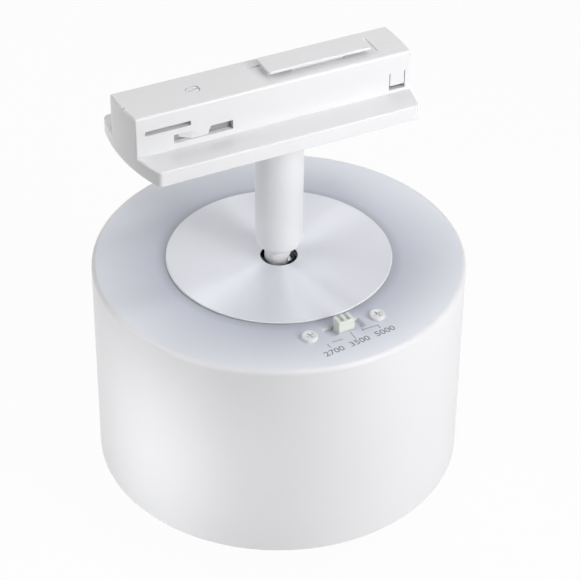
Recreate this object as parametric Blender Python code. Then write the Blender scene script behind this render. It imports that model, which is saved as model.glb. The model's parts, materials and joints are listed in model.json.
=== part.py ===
"""Track light: a plug-in track adapter, a short swivel stem and a tilting drum head.

Metres, +Z up. The origin is on the stem's axis, in the top plane of the adapter's flange,
where the ceiling track seats. +X runs along the adapter, and the head hangs below.
"""
import math

import bmesh
import bpy
from mathutils import Vector

MM = 0.001

# Clearance between pieces that touch, and the roundness of turned pieces
FIT = 0.3 * MM
LARGE_SIDES = 96
MEDIUM_SIDES = 48
SMALL_SIDES = 24
TINY_SIDES = 16

# Adapter: a box with bowed ends on a wider flange
ADAPTER_LENGTH = 85.7 * MM
STEM_FROM_LEFT_END = 48.0 * MM
END_RADIUS = 58.0 * MM
LEFT_CROWN = 3.5 * MM
END_STEPS = 8
FLANGE_WIDTH = 33.7 * MM
FLANGE_THICKNESS = 4.7 * MM
SEAT_DEPTH = 0.5 * MM
BOX_WIDTH = 15.3 * MM
BOX_HEIGHT = 12.4 * MM
COVER_WALL = 1.5 * MM
COVER_TOP = 1.6 * MM
COVER_EDGE = 0.5 * MM
POCKET_FROM_LEFT_END = 39.0 * MM
POCKET_LENGTH = 37.8 * MM
POCKET_WIDTH = 7.4 * MM
POCKET_DEPTH = 0.3 * MM

# Slots in the box's two sides: place from the left end, length, height and middle level
CONTACT_SLOT_FROM_END = 3.8 * MM
CONTACT_SLOT_LENGTH = 13.5 * MM
CONTACT_SLOT_HEIGHT = 1.4 * MM
CONTACT_SLOT_LEVEL = 7.05 * MM
LOCK_SLOT_FROM_END = 12.2 * MM
LOCK_SLOT_LENGTH = 17.7 * MM
LOCK_SLOT_HEIGHT = 2.8 * MM
LOCK_SLOT_LEVEL = 3.15 * MM

# Snap tabs near the box's right end, and the catches behind them
TAB_FROM_END = 2.3 * MM
TAB_WIDTH = 4.7 * MM
TAB_SLIT = 0.5 * MM
TAB_SILL = 0.9 * MM
TAB_FOOT = 2.3 * MM
TAB_HEAD = 6.4 * MM
CATCH_THICKNESS = 1.0 * MM

# Lock tongues, and the rib that their leaf springs lean on
TONGUE_FROM_SLOT_START = 2.2 * MM
TONGUE_NOSE_LENGTH = 9.0 * MM
TONGUE_RAMP = 0.9 * MM
TONGUE_RISE = 3.2 * MM
TONGUE_LIP = 0.6 * MM
TONGUE_LIP_THICKNESS = 1.0 * MM
LEAF_THICKNESS = 0.3 * MM
LEAF_STEPS = 8
RIB_THICKNESS = 1.6 * MM
RIB_LENGTH = 4.0 * MM

# Pressure pad on the box's top
PAD_CENTRE = 10.45 * MM
PAD_LENGTH = 31.7 * MM
PAD_WIDTH = 8.4 * MM
PAD_THICKNESS = 0.9 * MM
PAD_PROUD = 2.1 * MM
PLUNGER_LENGTH = 16.4 * MM
PLUNGER_WIDTH = 4.6 * MM
PLUNGER_LIP = 0.8 * MM
PLUNGER_LIP_THICKNESS = 0.8 * MM

# Cover screw, and the carrier of the contacts
SCREW_FROM_LEFT_END = 21.4 * MM
SCREW_HEAD_DIAMETER = 4.2 * MM
SCREW_HEAD_HEIGHT = 1.0 * MM
SCREW_SHANK_DIAMETER = 2.4 * MM
SCREW_DEPTH = 2.0 * MM
SCREW_POST_WALL = 0.9 * MM
CARRIER_THICKNESS = 0.9 * MM
CARRIER_FOOT = 3.0 * MM
CONTACT_THICKNESS = 0.6 * MM
CONTACT_HEIGHT = 1.5 * MM
CONTACT_BOW = 1.2 * MM
LEAD_DIAMETER = 1.2 * MM

# Stem
HANG = 47.0 * MM
STEM_DIAMETER = 14.0 * MM
NOSE_LENGTH = 3.8 * MM
NOSE_DIAMETER = 8.2 * MM
NOSE_GAP = 3.4 * MM
NOSE_STEPS = 6
NIPPLE_DIAMETER = 6.6 * MM
NIPPLE_BORE = 3.6 * MM
NIPPLE_IN_STEM = 9.0 * MM
NIPPLE_PROUD = 0.6 * MM
NUT_WALL = 1.2 * MM
NUT_THICKNESS = 2.6 * MM
WASHER_THICKNESS = 0.6 * MM
CABLE_DIAMETER = 2.0 * MM

# Knuckle, its two pivot pins and the bracket that holds them
SHANK_DIAMETER = 6.0 * MM
SHANK_LENGTH = 10.0 * MM
TONGUE_WIDTH = 7.0 * MM
TONGUE_THICKNESS = 5.0 * MM
PIVOT_BELOW_TOP = 2.6 * MM
PIVOT_DIAMETER = 3.0 * MM
PIVOT_INSERT = 1.4 * MM
PIVOT_HEAD_DIAMETER = 4.6 * MM
PIVOT_HEAD_HEIGHT = 1.2 * MM
FRICTION_WASHER = 0.5 * MM
EAR_THICKNESS = 1.6 * MM
EAR_WIDTH = 8.0 * MM
BRACKET_LENGTH = 46.0 * MM
BRACKET_WIDTH = 20.0 * MM
BRACKET_THICKNESS = 1.5 * MM

# Cover disc with its two studs
DISC_DIAMETER = 66.6 * MM
DISC_HOLE = 11.0 * MM
DISC_GAP = 0.1 * MM
DISC_THICKNESS = 0.6 * MM
DISC_DISH = 0.35 * MM
DISC_EDGE = 0.3 * MM
STUD_SPACING = 36.0 * MM
STUD_DIAMETER = 3.0 * MM
STUD_END = 2.0 * MM
DISC_NUT_FLATS = 5.5 * MM
DISC_NUT_THICKNESS = 2.4 * MM

# Drum
DRUM_DIAMETER = 110.0 * MM
DRUM_HEIGHT = 66.7 * MM
DRUM_WALL = 1.2 * MM
DRUM_TOP = 1.2 * MM
DRUM_EDGE = 1.4 * MM
DRUM_EDGE_STEPS = 4
DRUM_FOOT_EDGE = 0.4 * MM
TOP_OPENING = 26.0 * MM

# Colour-temperature selector on the drum's top
SWITCH_AZIMUTH = math.radians(-88.4)
SWITCH_FROM_RIM = 16.0 * MM
SWITCH_FROM_DISC = 5.7 * MM
SWITCH_SCREW_SPACING = 21.8 * MM
SWITCH_SCREW_DIAMETER = 2.4 * MM
SWITCH_SCREW_HEAD = 4.6 * MM
SWITCH_SCREW_BRIM = 0.4 * MM
SWITCH_SCREW_DOME = 0.5 * MM
SWITCH_SCREW_END = 2.0 * MM
SWITCH_PLATE_MARGIN = 3.1 * MM
SWITCH_PLATE_THICKNESS = 1.2 * MM
SWITCH_BODY_DEPTH = 6.0 * MM
SWITCH_BODY_WALL = 1.6 * MM
KNOB_LENGTH = 5.0 * MM
KNOB_WIDTH = 3.6 * MM
KNOB_HEIGHT = 3.4 * MM
KNOB_GROOVE_WIDTH = 0.8 * MM
KNOB_GROOVE_DEPTH = 1.3 * MM
KNOB_FRONT = 0.6 * MM
KNOB_FOOT = 3.0 * MM
KNOB_TRAVEL = 3.0 * MM
SLOT_SPARE = 0.4 * MM

# Heat spreader, held by three posts under the drum's top
POST_AZIMUTHS = (math.radians(92), math.radians(212), math.radians(332))
POST_FROM_WALL = 6.3 * MM
POST_DIAMETER = 7.0 * MM
SPREADER_DEPTH = 37.5 * MM
SPREADER_THICKNESS = 2.5 * MM
SPREADER_SCREW_DIAMETER = 3.0 * MM
SPREADER_SCREW_HEAD = 5.6 * MM
SPREADER_SCREW_HEAD_HEIGHT = 1.6 * MM
SPREADER_SCREW_INSERT = 8.0 * MM

# Driver on the spreader: a round board on three standoffs, and what it carries
BOARD_DIAMETER = 64.0 * MM
BOARD_THICKNESS = 1.6 * MM
SHEET_MARGIN = 4.0 * MM
SHEET_THICKNESS = 0.8 * MM
STANDOFF_FROM_EDGE = 5.0 * MM
STANDOFF_DIAMETER = 5.0 * MM
STANDOFF_LENGTH = 7.5 * MM
TRANSFORMER = (18.0 * MM, 16.0 * MM, 13.0 * MM)
CHOKE = (10.0 * MM, 9.0 * MM, 9.0 * MM)
TERMINAL = (10.0 * MM, 8.0 * MM, 8.0 * MM)
CAPACITOR_TALL = (9.0 * MM, 14.0 * MM)
CAPACITOR_SHORT = (8.0 * MM, 11.0 * MM)
COMPONENT_X = 13.0 * MM
COMPONENT_Y = 13.0 * MM
WIRE_DIAMETER = 1.4 * MM
CABLE_HOLE = 5.0 * MM

# Light source, reflector, diffuser and bezel
LED_BOARD_GAP = 2.7 * MM
LED_SIZE = 3.0 * MM
LED_HEIGHT = 0.7 * MM
LED_INNER_RING = 14.0 * MM
LED_OUTER_RING_FROM_EDGE = 12.0 * MM
LED_INNER_COUNT = 6
LED_OUTER_COUNT = 12
REFLECTOR_WALL = 1.0 * MM
REFLECTOR_FLARE = 6.5 * MM
DIFFUSER_THICKNESS = 2.0 * MM
BEZEL_THICKNESS = 2.1 * MM
BEZEL_WIDTH = 5.0 * MM
BEZEL_RECESS = 0.3 * MM

# Places in the adapter that follow from the sizes above
X_LEFT = -STEM_FROM_LEFT_END
X_RIGHT = ADAPTER_LENGTH - STEM_FROM_LEFT_END
BOX_HALF = BOX_WIDTH / 2
INNER_HALF = BOX_HALF - COVER_WALL
SEAT_Z = -SEAT_DEPTH
COVER_FOOT = SEAT_Z + FIT
COVER_CEILING = BOX_HEIGHT - COVER_TOP
LOCK_LEFT = X_LEFT + LOCK_SLOT_FROM_END
LOCK_RIGHT = LOCK_LEFT + LOCK_SLOT_LENGTH
LOCK_LOW = LOCK_SLOT_LEVEL - LOCK_SLOT_HEIGHT / 2
LOCK_HIGH = LOCK_SLOT_LEVEL + LOCK_SLOT_HEIGHT / 2
CONTACT_LEFT = X_LEFT + CONTACT_SLOT_FROM_END
CONTACT_RIGHT = CONTACT_LEFT + CONTACT_SLOT_LENGTH
CONTACT_LOW = CONTACT_SLOT_LEVEL - CONTACT_SLOT_HEIGHT / 2
CONTACT_HIGH = CONTACT_SLOT_LEVEL + CONTACT_SLOT_HEIGHT / 2
TAB_RIGHT = X_RIGHT - TAB_FROM_END
TAB_LEFT = TAB_RIGHT - TAB_WIDTH
CARRIER_LEVEL = LOCK_HIGH + TONGUE_LIP + FIT
CARRIER_TOP = CARRIER_LEVEL + CARRIER_THICKNESS
SCREW_X = X_LEFT + SCREW_FROM_LEFT_END
SCREW_FOOT = SEAT_Z - SCREW_DEPTH
SCREW_POST_RADIUS = SCREW_SHANK_DIAMETER / 2 + FIT + SCREW_POST_WALL
RIB_RIGHT = SCREW_X - SCREW_POST_RADIUS - FIT
RIB_LEFT = RIB_RIGHT - RIB_LENGTH
LIP_OUTER = INNER_HALF - FIT
LIP_INNER = LIP_OUTER - TONGUE_LIP_THICKNESS
NUT_FLATS = NIPPLE_DIAMETER + 2 * NUT_WALL
WASHER_TOP = COVER_FOOT + WASHER_THICKNESS
NUT_TOP = WASHER_TOP + FIT + NUT_THICKNESS

# Levels of the stem, from the flange's top
STEM_TOP = -FLANGE_THICKNESS - FIT
DRUM_TOP_Z = -FLANGE_THICKNESS - HANG
NOSE_Z = DRUM_TOP_Z + DISC_GAP + DISC_THICKNESS + NOSE_GAP
SHANK_TOP = NOSE_Z + SHANK_LENGTH
PIVOT_Z = DRUM_TOP_Z - PIVOT_BELOW_TOP

# Places in the head, with levels from the drum's top
EAR_INNER = TONGUE_WIDTH / 2 + FRICTION_WASHER + 2 * FIT
EAR_OUTER = EAR_INNER + EAR_THICKNESS
BRACKET_TOP = -DRUM_TOP - FIT
BRACKET_FOOT = BRACKET_TOP - BRACKET_THICKNESS
DISC_NUT_FOOT = BRACKET_FOOT - FIT - DISC_NUT_THICKNESS
KNUCKLE_END = -PIVOT_BELOW_TOP - TONGUE_THICKNESS / 2
DRUM_INNER = DRUM_DIAMETER / 2 - DRUM_WALL
SEAT_RADIUS = DRUM_INNER - FIT
SWITCH_INNER = DISC_DIAMETER / 2 + SWITCH_FROM_DISC
SWITCH_OUTER = DRUM_DIAMETER / 2 - SWITCH_FROM_RIM
SWITCH_RADIUS = (SWITCH_INNER + SWITCH_OUTER) / 2
SLOT_LENGTH = KNOB_LENGTH + 2 * (KNOB_TRAVEL + SLOT_SPARE)
SLOT_WIDTH = KNOB_WIDTH + 2 * SLOT_SPARE
SWITCH_TOP = -DRUM_TOP - FIT
SWITCH_PLATE_FOOT = SWITCH_TOP - SWITCH_PLATE_THICKNESS
SWITCH_FOOT = SWITCH_PLATE_FOOT - SWITCH_BODY_DEPTH
POST_RADIUS = DRUM_INNER - POST_FROM_WALL
POST_PLACES = [(POST_RADIUS * math.cos(a), POST_RADIUS * math.sin(a)) for a in POST_AZIMUTHS]
SPREADER_FOOT = -SPREADER_DEPTH - SPREADER_THICKNESS
BOARD_FOOT = -SPREADER_DEPTH + STANDOFF_LENGTH + 2 * FIT
BOARD_TOP = BOARD_FOOT + BOARD_THICKNESS
COMPONENT_FOOT = BOARD_TOP + FIT
LED_RIM = POST_RADIUS - SPREADER_SCREW_HEAD / 2 - LED_BOARD_GAP
LED_BOARD_TOP = SPREADER_FOOT - FIT
LED_BOARD_FOOT = LED_BOARD_TOP - BOARD_THICKNESS
BEZEL_FOOT = -DRUM_HEIGHT + BEZEL_RECESS
BEZEL_TOP = BEZEL_FOOT + BEZEL_THICKNESS
DIFFUSER_FOOT = BEZEL_TOP + FIT
DIFFUSER_TOP = DIFFUSER_FOOT + DIFFUSER_THICKNESS


# Shapes: each is a list of corners and a list of faces

def loft(loops):
    """Skin loops of equal length, and close both ends."""
    count = len(loops[0])
    corners = [corner for loop in loops for corner in loop]
    faces = [list(range(count)), list(range((len(loops) - 1) * count, len(loops) * count))]
    for level in range(len(loops) - 1):
        for i in range(count):
            j = (i + 1) % count
            low = level * count
            high = low + count
            faces.append([low + i, low + j, high + j, high + i])
    return corners, faces


def stack(levels):
    """Skin flat outlines at their levels, from (level, outline) pairs."""
    return loft([[(x, y, level) for x, y in outline] for level, outline in levels])


def prism(outline, low, high, axis="Z"):
    """Push a flat outline along an axis: (x, y) for Z, (x, z) for Y and (y, z) for X."""
    if axis == "Z":
        return stack([(low, outline), (high, outline)])
    if axis == "Y":
        return loft([[(a, level, b) for a, b in outline] for level in (low, high)])
    return loft([[(level, a, b) for a, b in outline] for level in (low, high)])


def rectangle(left, right, near, far):
    return [(left, near), (right, near), (right, far), (left, far)]


def oblong(half_length, half_width):
    return rectangle(-half_length, half_length, -half_width, half_width)


def block(low, high):
    """A box between two opposite corners, given in any order."""
    (left, near, foot), (right, far, top) = low, high
    outline = rectangle(min(left, right), max(left, right), min(near, far), max(near, far))
    return prism(outline, min(foot, top), max(foot, top))


def centred_block(centre, size, foot):
    """A box of the given size that stands on a level."""
    low = (centre[0] - size[0] / 2, centre[1] - size[1] / 2, foot)
    high = (centre[0] + size[0] / 2, centre[1] + size[1] / 2, foot + size[2])
    return block(low, high)


def circle(radius, sides, centre=(0, 0), lead=0.0):
    """Corners of a regular polygon. It leads the X axis by a share of a side."""
    turns = [2 * math.pi * (i + lead) / sides for i in range(sides)]
    return [(centre[0] + radius * math.cos(t), centre[1] + radius * math.sin(t)) for t in turns]


def rod(radius, low, high, centre=(0, 0), axis="Z", sides=TINY_SIDES):
    return prism(circle(radius, sides, centre, 0.5), low, high, axis)


def hexagon(flats, centre=(0, 0)):
    return circle(flats / math.sqrt(3), 6, centre)


def turn(profile, sides):
    """Turn a closed outline of (radius, level) points about Z. A zero radius is on the axis."""
    corners = []
    rings = []
    for radius, level in profile:
        count = sides if radius > 0 else 1
        rings.append([len(corners) + i for i in range(count)])
        corners += [(x, y, level) for x, y in circle(radius, count)]
    faces = []
    for ring, following in zip(rings, rings[1:] + rings[:1]):
        for i in range(sides):
            j = (i + 1) % sides
            quad = [ring[i % len(ring)], ring[j % len(ring)]]
            quad += [following[j % len(following)], following[i % len(following)]]
            face = list(dict.fromkeys(quad))
            if len(face) > 2:
                faces.append(face)
    return corners, faces


def ring(outer, inner, low, high, sides):
    return turn([(outer, high), (outer, low), (inner, low), (inner, high)], sides)


def arc(centre, radii, start, stop, steps):
    """Points of an elliptic arc, with its angles in degrees."""
    angles = [math.radians(start + (stop - start) * i / steps) for i in range(steps + 1)]
    return [(centre[0] + radii[0] * math.cos(a), centre[1] + radii[1] * math.sin(a)) for a in angles]


def leaf(middle, half_length, crown, foot, thickness):
    """Outline of a bowed strip: it stands at crown in its middle, and at foot at both ends."""
    shares = [2 * i / LEAF_STEPS - 1 for i in range(LEAF_STEPS + 1)]
    upper = [(middle + half_length * s, crown + (foot - crown) * s * s) for s in shares]
    return upper + [(along, across - thickness) for along, across in reversed(upper)]


# Objects

def empty(name, location, parent=None, turn_z=0.0):
    """A frame that carries pieces. A moving piece's frame is on its joint's axis."""
    frame = bpy.data.objects.new(name, None)
    bpy.context.scene.collection.objects.link(frame)
    frame.location = location
    frame.rotation_euler = (0, 0, turn_z)
    frame.parent = parent
    return frame


def place(name, data, finish, frame, level):
    solid = bpy.data.objects.new(name, data)
    bpy.context.scene.collection.objects.link(solid)
    if finish:
        data.materials.append(finish)
    solid.parent = frame
    solid.location = (0, 0, level)
    return solid


def piece(name, finish, frame, *shapes, level=0.0):
    """A mesh object of one or more shapes, with its faces pointing out."""
    mesh = bpy.data.meshes.new(name)
    work = bmesh.new()
    for corners, faces in shapes:
        points = [work.verts.new(corner) for corner in corners]
        for face in faces:
            work.faces.new([points[i] for i in face])
    bmesh.ops.recalc_face_normals(work, faces=work.faces)
    work.to_mesh(mesh)
    work.free()
    mesh.shade_smooth()
    mesh.set_sharp_from_angle(angle=math.radians(30))
    return place(name, mesh, finish, frame, level)


def combine(solid, operation, shapes, frame=None):
    """Cut shapes from a piece, or join shapes to it, with a hidden helper object."""
    name = f"{solid.name}.{operation.lower()}_{len(solid.modifiers)}"
    level = 0.0 if frame else solid.location.z
    helper = piece(name, None, frame or solid.parent, *shapes, level=level)
    helper.hide_render = True
    helper.display_type = "WIRE"
    step = solid.modifiers.new(name, "BOOLEAN")
    step.operation = operation
    step.solver = "EXACT"
    step.object = helper


def cut(solid, *shapes, frame=None):
    combine(solid, "DIFFERENCE", shapes, frame)


def join(solid, *shapes):
    combine(solid, "UNION", shapes)


def cable(name, finish, frame, route, diameter, level=0.0):
    """A round cable along a smooth curve through the route's points."""
    steps = 4
    points = [Vector(point) for point in route]
    points = [2 * points[0] - points[1]] + points + [2 * points[-1] - points[-2]]
    path = []
    for a, b, c, d in zip(points, points[1:], points[2:], points[3:]):
        for i in range(steps):
            t = i / steps
            bend = 2 * b + (c - a) * t + (2 * a - 5 * b + 4 * c - d) * t * t
            path.append((bend + (3 * b - a - 3 * c + d) * t ** 3) / 2)
    path.append(points[-2])
    curve = bpy.data.curves.new(name, "CURVE")
    curve.dimensions = "3D"
    curve.bevel_depth = diameter / 2
    curve.bevel_resolution = 2
    curve.use_fill_caps = True
    spline = curve.splines.new("POLY")
    spline.points.add(len(path) - 1)
    for spot, point in zip(spline.points, path):
        spot.co = (*point, 1)
    return place(name, curve, finish, frame, level)


def surface(name, colour, roughness, metallic=0.0):
    material = bpy.data.materials.new(name)
    material.use_nodes = True
    shader = material.node_tree.nodes["Principled BSDF"]
    shader.inputs["Base Color"].default_value = (*colour, 1)
    shader.inputs["Roughness"].default_value = roughness
    shader.inputs["Metallic"].default_value = metallic
    return material


# Adapter

def adapter_outline(half_width, inset=0.0):
    """Plan of a piece with the adapter's two bowed ends."""
    outline = []
    for end, side, crown in ((X_RIGHT - inset, 1, 0.0), (X_LEFT + inset, -1, LEFT_CROWN)):
        for step in range(END_STEPS + 1):
            across = side * half_width * (2 * step / END_STEPS - 1)
            outline.append((end - side * end_setback(across - crown), across))
    return outline


def end_setback(from_crown):
    """How far a bowed end stands back at a distance from its crown."""
    return END_RADIUS - math.sqrt(END_RADIUS ** 2 - from_crown ** 2)


def make_base(frame, finish):
    """Flange with a shallow seat for the box, a screw post, a spring rib and two catches."""
    flange = prism(adapter_outline(FLANGE_WIDTH / 2), -FLANGE_THICKNESS, 0)
    base = piece("adapter_base", finish, frame, flange)
    seat_half = BOX_HALF + FIT
    cut(base, block((2 * X_LEFT, -seat_half, SEAT_Z), (2 * X_RIGHT, seat_half, BOX_HEIGHT)))
    root = SEAT_Z - SEAT_DEPTH
    post_top = CARRIER_LEVEL - FIT
    post = rod(SCREW_POST_RADIUS, root, post_top, (SCREW_X, 0))
    rib_half = RIB_THICKNESS / 2
    rib = block((RIB_LEFT, -rib_half, root), (RIB_RIGHT, rib_half, post_top))
    catches = []
    for side in (-1, 1):
        low = (TAB_LEFT + TAB_SLIT, side * (LIP_OUTER - CATCH_THICKNESS), root)
        catches.append(block(low, (TAB_RIGHT - TAB_SLIT, side * LIP_OUTER, TAB_FOOT - FIT)))
    join(base, post, rib, *catches)
    bore = rod(NIPPLE_DIAMETER / 2 + FIT, -2 * FLANGE_THICKNESS, BOX_HEIGHT, sides=SMALL_SIDES)
    screw_hole = rod(SCREW_SHANK_DIAMETER / 2 + FIT, SCREW_FOOT - FIT, BOX_HEIGHT, (SCREW_X, 0))
    cut(base, bore, screw_hole)


def make_cover(frame, finish):
    """Box shell with side slots, snap tabs, the pad's pocket and opening and the screw's counterbore."""
    wide = adapter_outline(BOX_HALF)
    narrow = adapter_outline(BOX_HALF - COVER_EDGE, COVER_EDGE)
    levels = [(COVER_FOOT, wide), (BOX_HEIGHT - COVER_EDGE, wide), (BOX_HEIGHT, narrow)]
    cover = piece("adapter_cover", finish, frame, stack(levels))
    above = 2 * BOX_HEIGHT
    across = BOX_WIDTH
    cut(cover, prism(adapter_outline(INNER_HALF, COVER_WALL), -FLANGE_THICKNESS, COVER_CEILING))
    contact_slot = block((CONTACT_LEFT, -across, CONTACT_LOW), (CONTACT_RIGHT, across, CONTACT_HIGH))
    lock_slot = block((LOCK_LEFT, -across, LOCK_LOW), (LOCK_RIGHT, across, LOCK_HIGH))
    left = TAB_LEFT - TAB_SLIT / 2
    right = TAB_RIGHT + TAB_SLIT / 2
    tab_gap = [(left, TAB_SILL), (right, TAB_SILL), (right, TAB_HEAD), (right - TAB_SLIT, TAB_HEAD),
               (right - TAB_SLIT, TAB_FOOT), (left + TAB_SLIT, TAB_FOOT), (left + TAB_SLIT, TAB_HEAD),
               (left, TAB_HEAD)]
    pocket_left = X_LEFT + POCKET_FROM_LEFT_END
    pocket_half = POCKET_WIDTH / 2
    pocket = block((pocket_left, -pocket_half, BOX_HEIGHT - POCKET_DEPTH),
                   (pocket_left + POCKET_LENGTH, pocket_half, above))
    opening = (PLUNGER_LENGTH + 2 * FIT, PLUNGER_WIDTH + 2 * FIT, above)
    pad_opening = centred_block((PAD_CENTRE, 0), opening, CARRIER_TOP)
    head_foot = BOX_HEIGHT - SCREW_HEAD_HEIGHT - FIT
    counterbore = rod(SCREW_HEAD_DIAMETER / 2 + FIT, head_foot, above, (SCREW_X, 0), sides=SMALL_SIDES)
    cut(cover, contact_slot, lock_slot, prism(tab_gap, -across, across, "Y"), pad_opening, counterbore)
    cut(cover, pocket, rod(SCREW_SHANK_DIAMETER / 2 + FIT, CARRIER_TOP, above, (SCREW_X, 0)))


def make_cover_screw(frame, finish):
    shank = SCREW_SHANK_DIAMETER / 2
    head = SCREW_HEAD_DIAMETER / 2
    under_head = BOX_HEIGHT - SCREW_HEAD_HEIGHT
    profile = [(0, BOX_HEIGHT), (head, BOX_HEIGHT), (head, under_head), (shank, under_head),
               (shank, SCREW_FOOT), (0, SCREW_FOOT)]
    axis = empty("cover_screw_axis", (SCREW_X, 0, 0), frame)
    piece("cover_screw", finish, axis, turn(profile, TINY_SIDES))


def make_carrier(frame, finish):
    """Long plate inside the box that holds the contacts, on three feet."""
    half = INNER_HALF - FIT
    left = X_LEFT + COVER_WALL + end_setback(INNER_HALF + LEFT_CROWN) + FIT
    right = X_RIGHT - COVER_WALL - end_setback(INNER_HALF) - FIT
    plate_and_feet = block((left, -half, COVER_FOOT), (right, half, CARRIER_TOP))
    carrier = piece("contact_carrier", finish, frame, plate_and_feet)
    past_lock = LOCK_RIGHT + TONGUE_LIP + FIT
    past_nut = NUT_FLATS / math.sqrt(3) + CARRIER_FOOT
    spans = [(left + CARRIER_FOOT, past_lock), (past_lock + CARRIER_FOOT, past_nut),
             (past_nut + CARRIER_FOOT, 2 * X_RIGHT)]
    cut(carrier, *[block((a, -BOX_WIDTH, 2 * SEAT_Z), (b, BOX_WIDTH, CARRIER_LEVEL)) for a, b in spans])
    lead_hole = rod(NIPPLE_BORE / 2 + 2 * FIT, SEAT_Z, BOX_HEIGHT)
    cut(carrier, lead_hole, rod(SCREW_SHANK_DIAMETER / 2 + FIT, SEAT_Z, BOX_HEIGHT, (SCREW_X, 0)))


def make_lock(frame, side, word, finish, steel):
    """Lock tongue behind one side slot, and the leaf spring that pushes it out."""
    left = LOCK_LEFT + TONGUE_FROM_SLOT_START
    right = left + TONGUE_NOSE_LENGTH
    low = LOCK_LOW + FIT
    high = LOCK_HIGH - FIT
    nose, face = [[(start, low), (right - TONGUE_RAMP, low), (right, high), (start, high)]
                  for start in (left, left + TONGUE_RISE)]
    lip = rectangle(LOCK_LEFT - TONGUE_LIP, right + TONGUE_LIP, LOCK_LOW - TONGUE_LIP, LOCK_HIGH + TONGUE_LIP)
    guide = empty(f"lock_{word}_guide", (0, side * LIP_INNER, 0), frame)
    levels = ((BOX_HALF - FIT, face), (LIP_OUTER, nose), (LIP_OUTER, lip), (LIP_INNER, lip))
    loops = [[(x, side * (y - LIP_INNER), z) for x, z in loop] for y, loop in levels]
    piece(f"lock_tongue_{word}", finish, guide, loft(loops))
    foot = RIB_THICKNESS / 2 + FIT + LEAF_THICKNESS
    spring = leaf((RIB_LEFT + RIB_RIGHT) / 2, RIB_LENGTH / 2, LIP_INNER - FIT, foot, LEAF_THICKNESS)
    piece(f"lock_spring_{word}", steel, frame, prism([(x, side * y) for x, y in spring], low, high))


def make_contact(frame, side, word, brass, copper):
    """Bowed contact strip behind one side slot, and its lead to the stem."""
    middle = (CONTACT_LEFT + CONTACT_RIGHT) / 2
    half = CONTACT_SLOT_LENGTH / 2 - FIT
    crown = LIP_OUTER
    foot = crown - CONTACT_BOW
    low = CARRIER_TOP + FIT
    strip = [(x, side * y) for x, y in leaf(middle, half, crown, foot, CONTACT_THICKNESS)]
    piece(f"contact_strip_{word}", brass, frame, prism(strip, low, low + CONTACT_HEIGHT))
    level = low + LEAD_DIAMETER / 2
    strip_side = side * (foot - CONTACT_THICKNESS / 2)
    stem_side = side * (LEAD_DIAMETER / 2 + FIT)
    route = [(CONTACT_RIGHT + LEAD_DIAMETER, strip_side, level), (SCREW_X / 2, strip_side, level),
             (-4 * LEAD_DIAMETER, 2 * stem_side, level), (-LEAD_DIAMETER, 1.2 * stem_side, level),
             (0, stem_side, CARRIER_LEVEL - FIT)]
    cable(f"adapter_lead_{word}", copper, frame, route, LEAD_DIAMETER)


def make_pad(frame, finish, steel):
    """Oblong pad on a plunger through the box's top, and the leaf spring under it."""
    guide = empty("pad_guide", (PAD_CENTRE, 0, BOX_HEIGHT), frame)
    half_length = PLUNGER_LENGTH / 2
    half_width = PLUNGER_WIDTH / 2
    plate = oblong(PAD_LENGTH / 2, PAD_WIDTH / 2)
    plunger = oblong(half_length, half_width)
    lip = oblong(half_length + PLUNGER_LIP, half_width + PLUNGER_LIP)
    under_plate = PAD_PROUD - PAD_THICKNESS
    lip_top = -COVER_TOP - FIT
    lip_foot = lip_top - PLUNGER_LIP_THICKNESS
    levels = [(PAD_PROUD, plate), (under_plate, plate), (under_plate, plunger), (lip_top, plunger),
              (lip_top, lip), (lip_foot, lip)]
    piece("pressure_pad", finish, guide, stack(levels))
    crown = BOX_HEIGHT + lip_foot - FIT
    foot = CARRIER_TOP + FIT + LEAF_THICKNESS
    spring = leaf(PAD_CENTRE, half_length, crown, foot, LEAF_THICKNESS)
    piece("pad_spring", steel, frame, prism(spring, -half_width, half_width, "Y"))


def make_adapter(frame, white, tinned, steel, copper):
    make_base(frame, white)
    make_cover(frame, white)
    make_cover_screw(frame, white)
    make_carrier(frame, white)
    for side, word in ((-1, "near"), (1, "far")):
        make_lock(frame, side, word, white, steel)
        make_contact(frame, side, word, tinned, copper)
    make_pad(frame, white, steel)
    rim = NUT_FLATS / 2
    bore = NIPPLE_DIAMETER / 2 + FIT
    piece("swivel_washer", steel, frame, ring(rim, bore, COVER_FOOT, WASHER_TOP, SMALL_SIDES))


# Stem

def make_stem_tube(frame, finish):
    """Turned stem: a rounded nose below, a nipple's seat above and the knuckle's seat below."""
    outer = STEM_DIAMETER / 2
    nose = NOSE_DIAMETER / 2
    nipple_seat = NIPPLE_DIAMETER / 2 + FIT
    shank_seat = SHANK_DIAMETER / 2 + FIT
    cable_way = CABLE_DIAMETER / 2 + FIT
    nipple_end = STEM_TOP - NIPPLE_IN_STEM - FIT
    shank_end = SHANK_TOP + FIT
    profile = [(outer, STEM_TOP)]
    profile += arc((nose, NOSE_Z + NOSE_LENGTH), (outer - nose, NOSE_LENGTH), 0, -90, NOSE_STEPS)
    profile += [(shank_seat, NOSE_Z), (shank_seat, shank_end), (cable_way, shank_end)]
    profile += [(cable_way, nipple_end), (nipple_seat, nipple_end), (nipple_seat, STEM_TOP)]
    piece("stem_tube", finish, frame, turn(profile, MEDIUM_SIDES))


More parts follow.
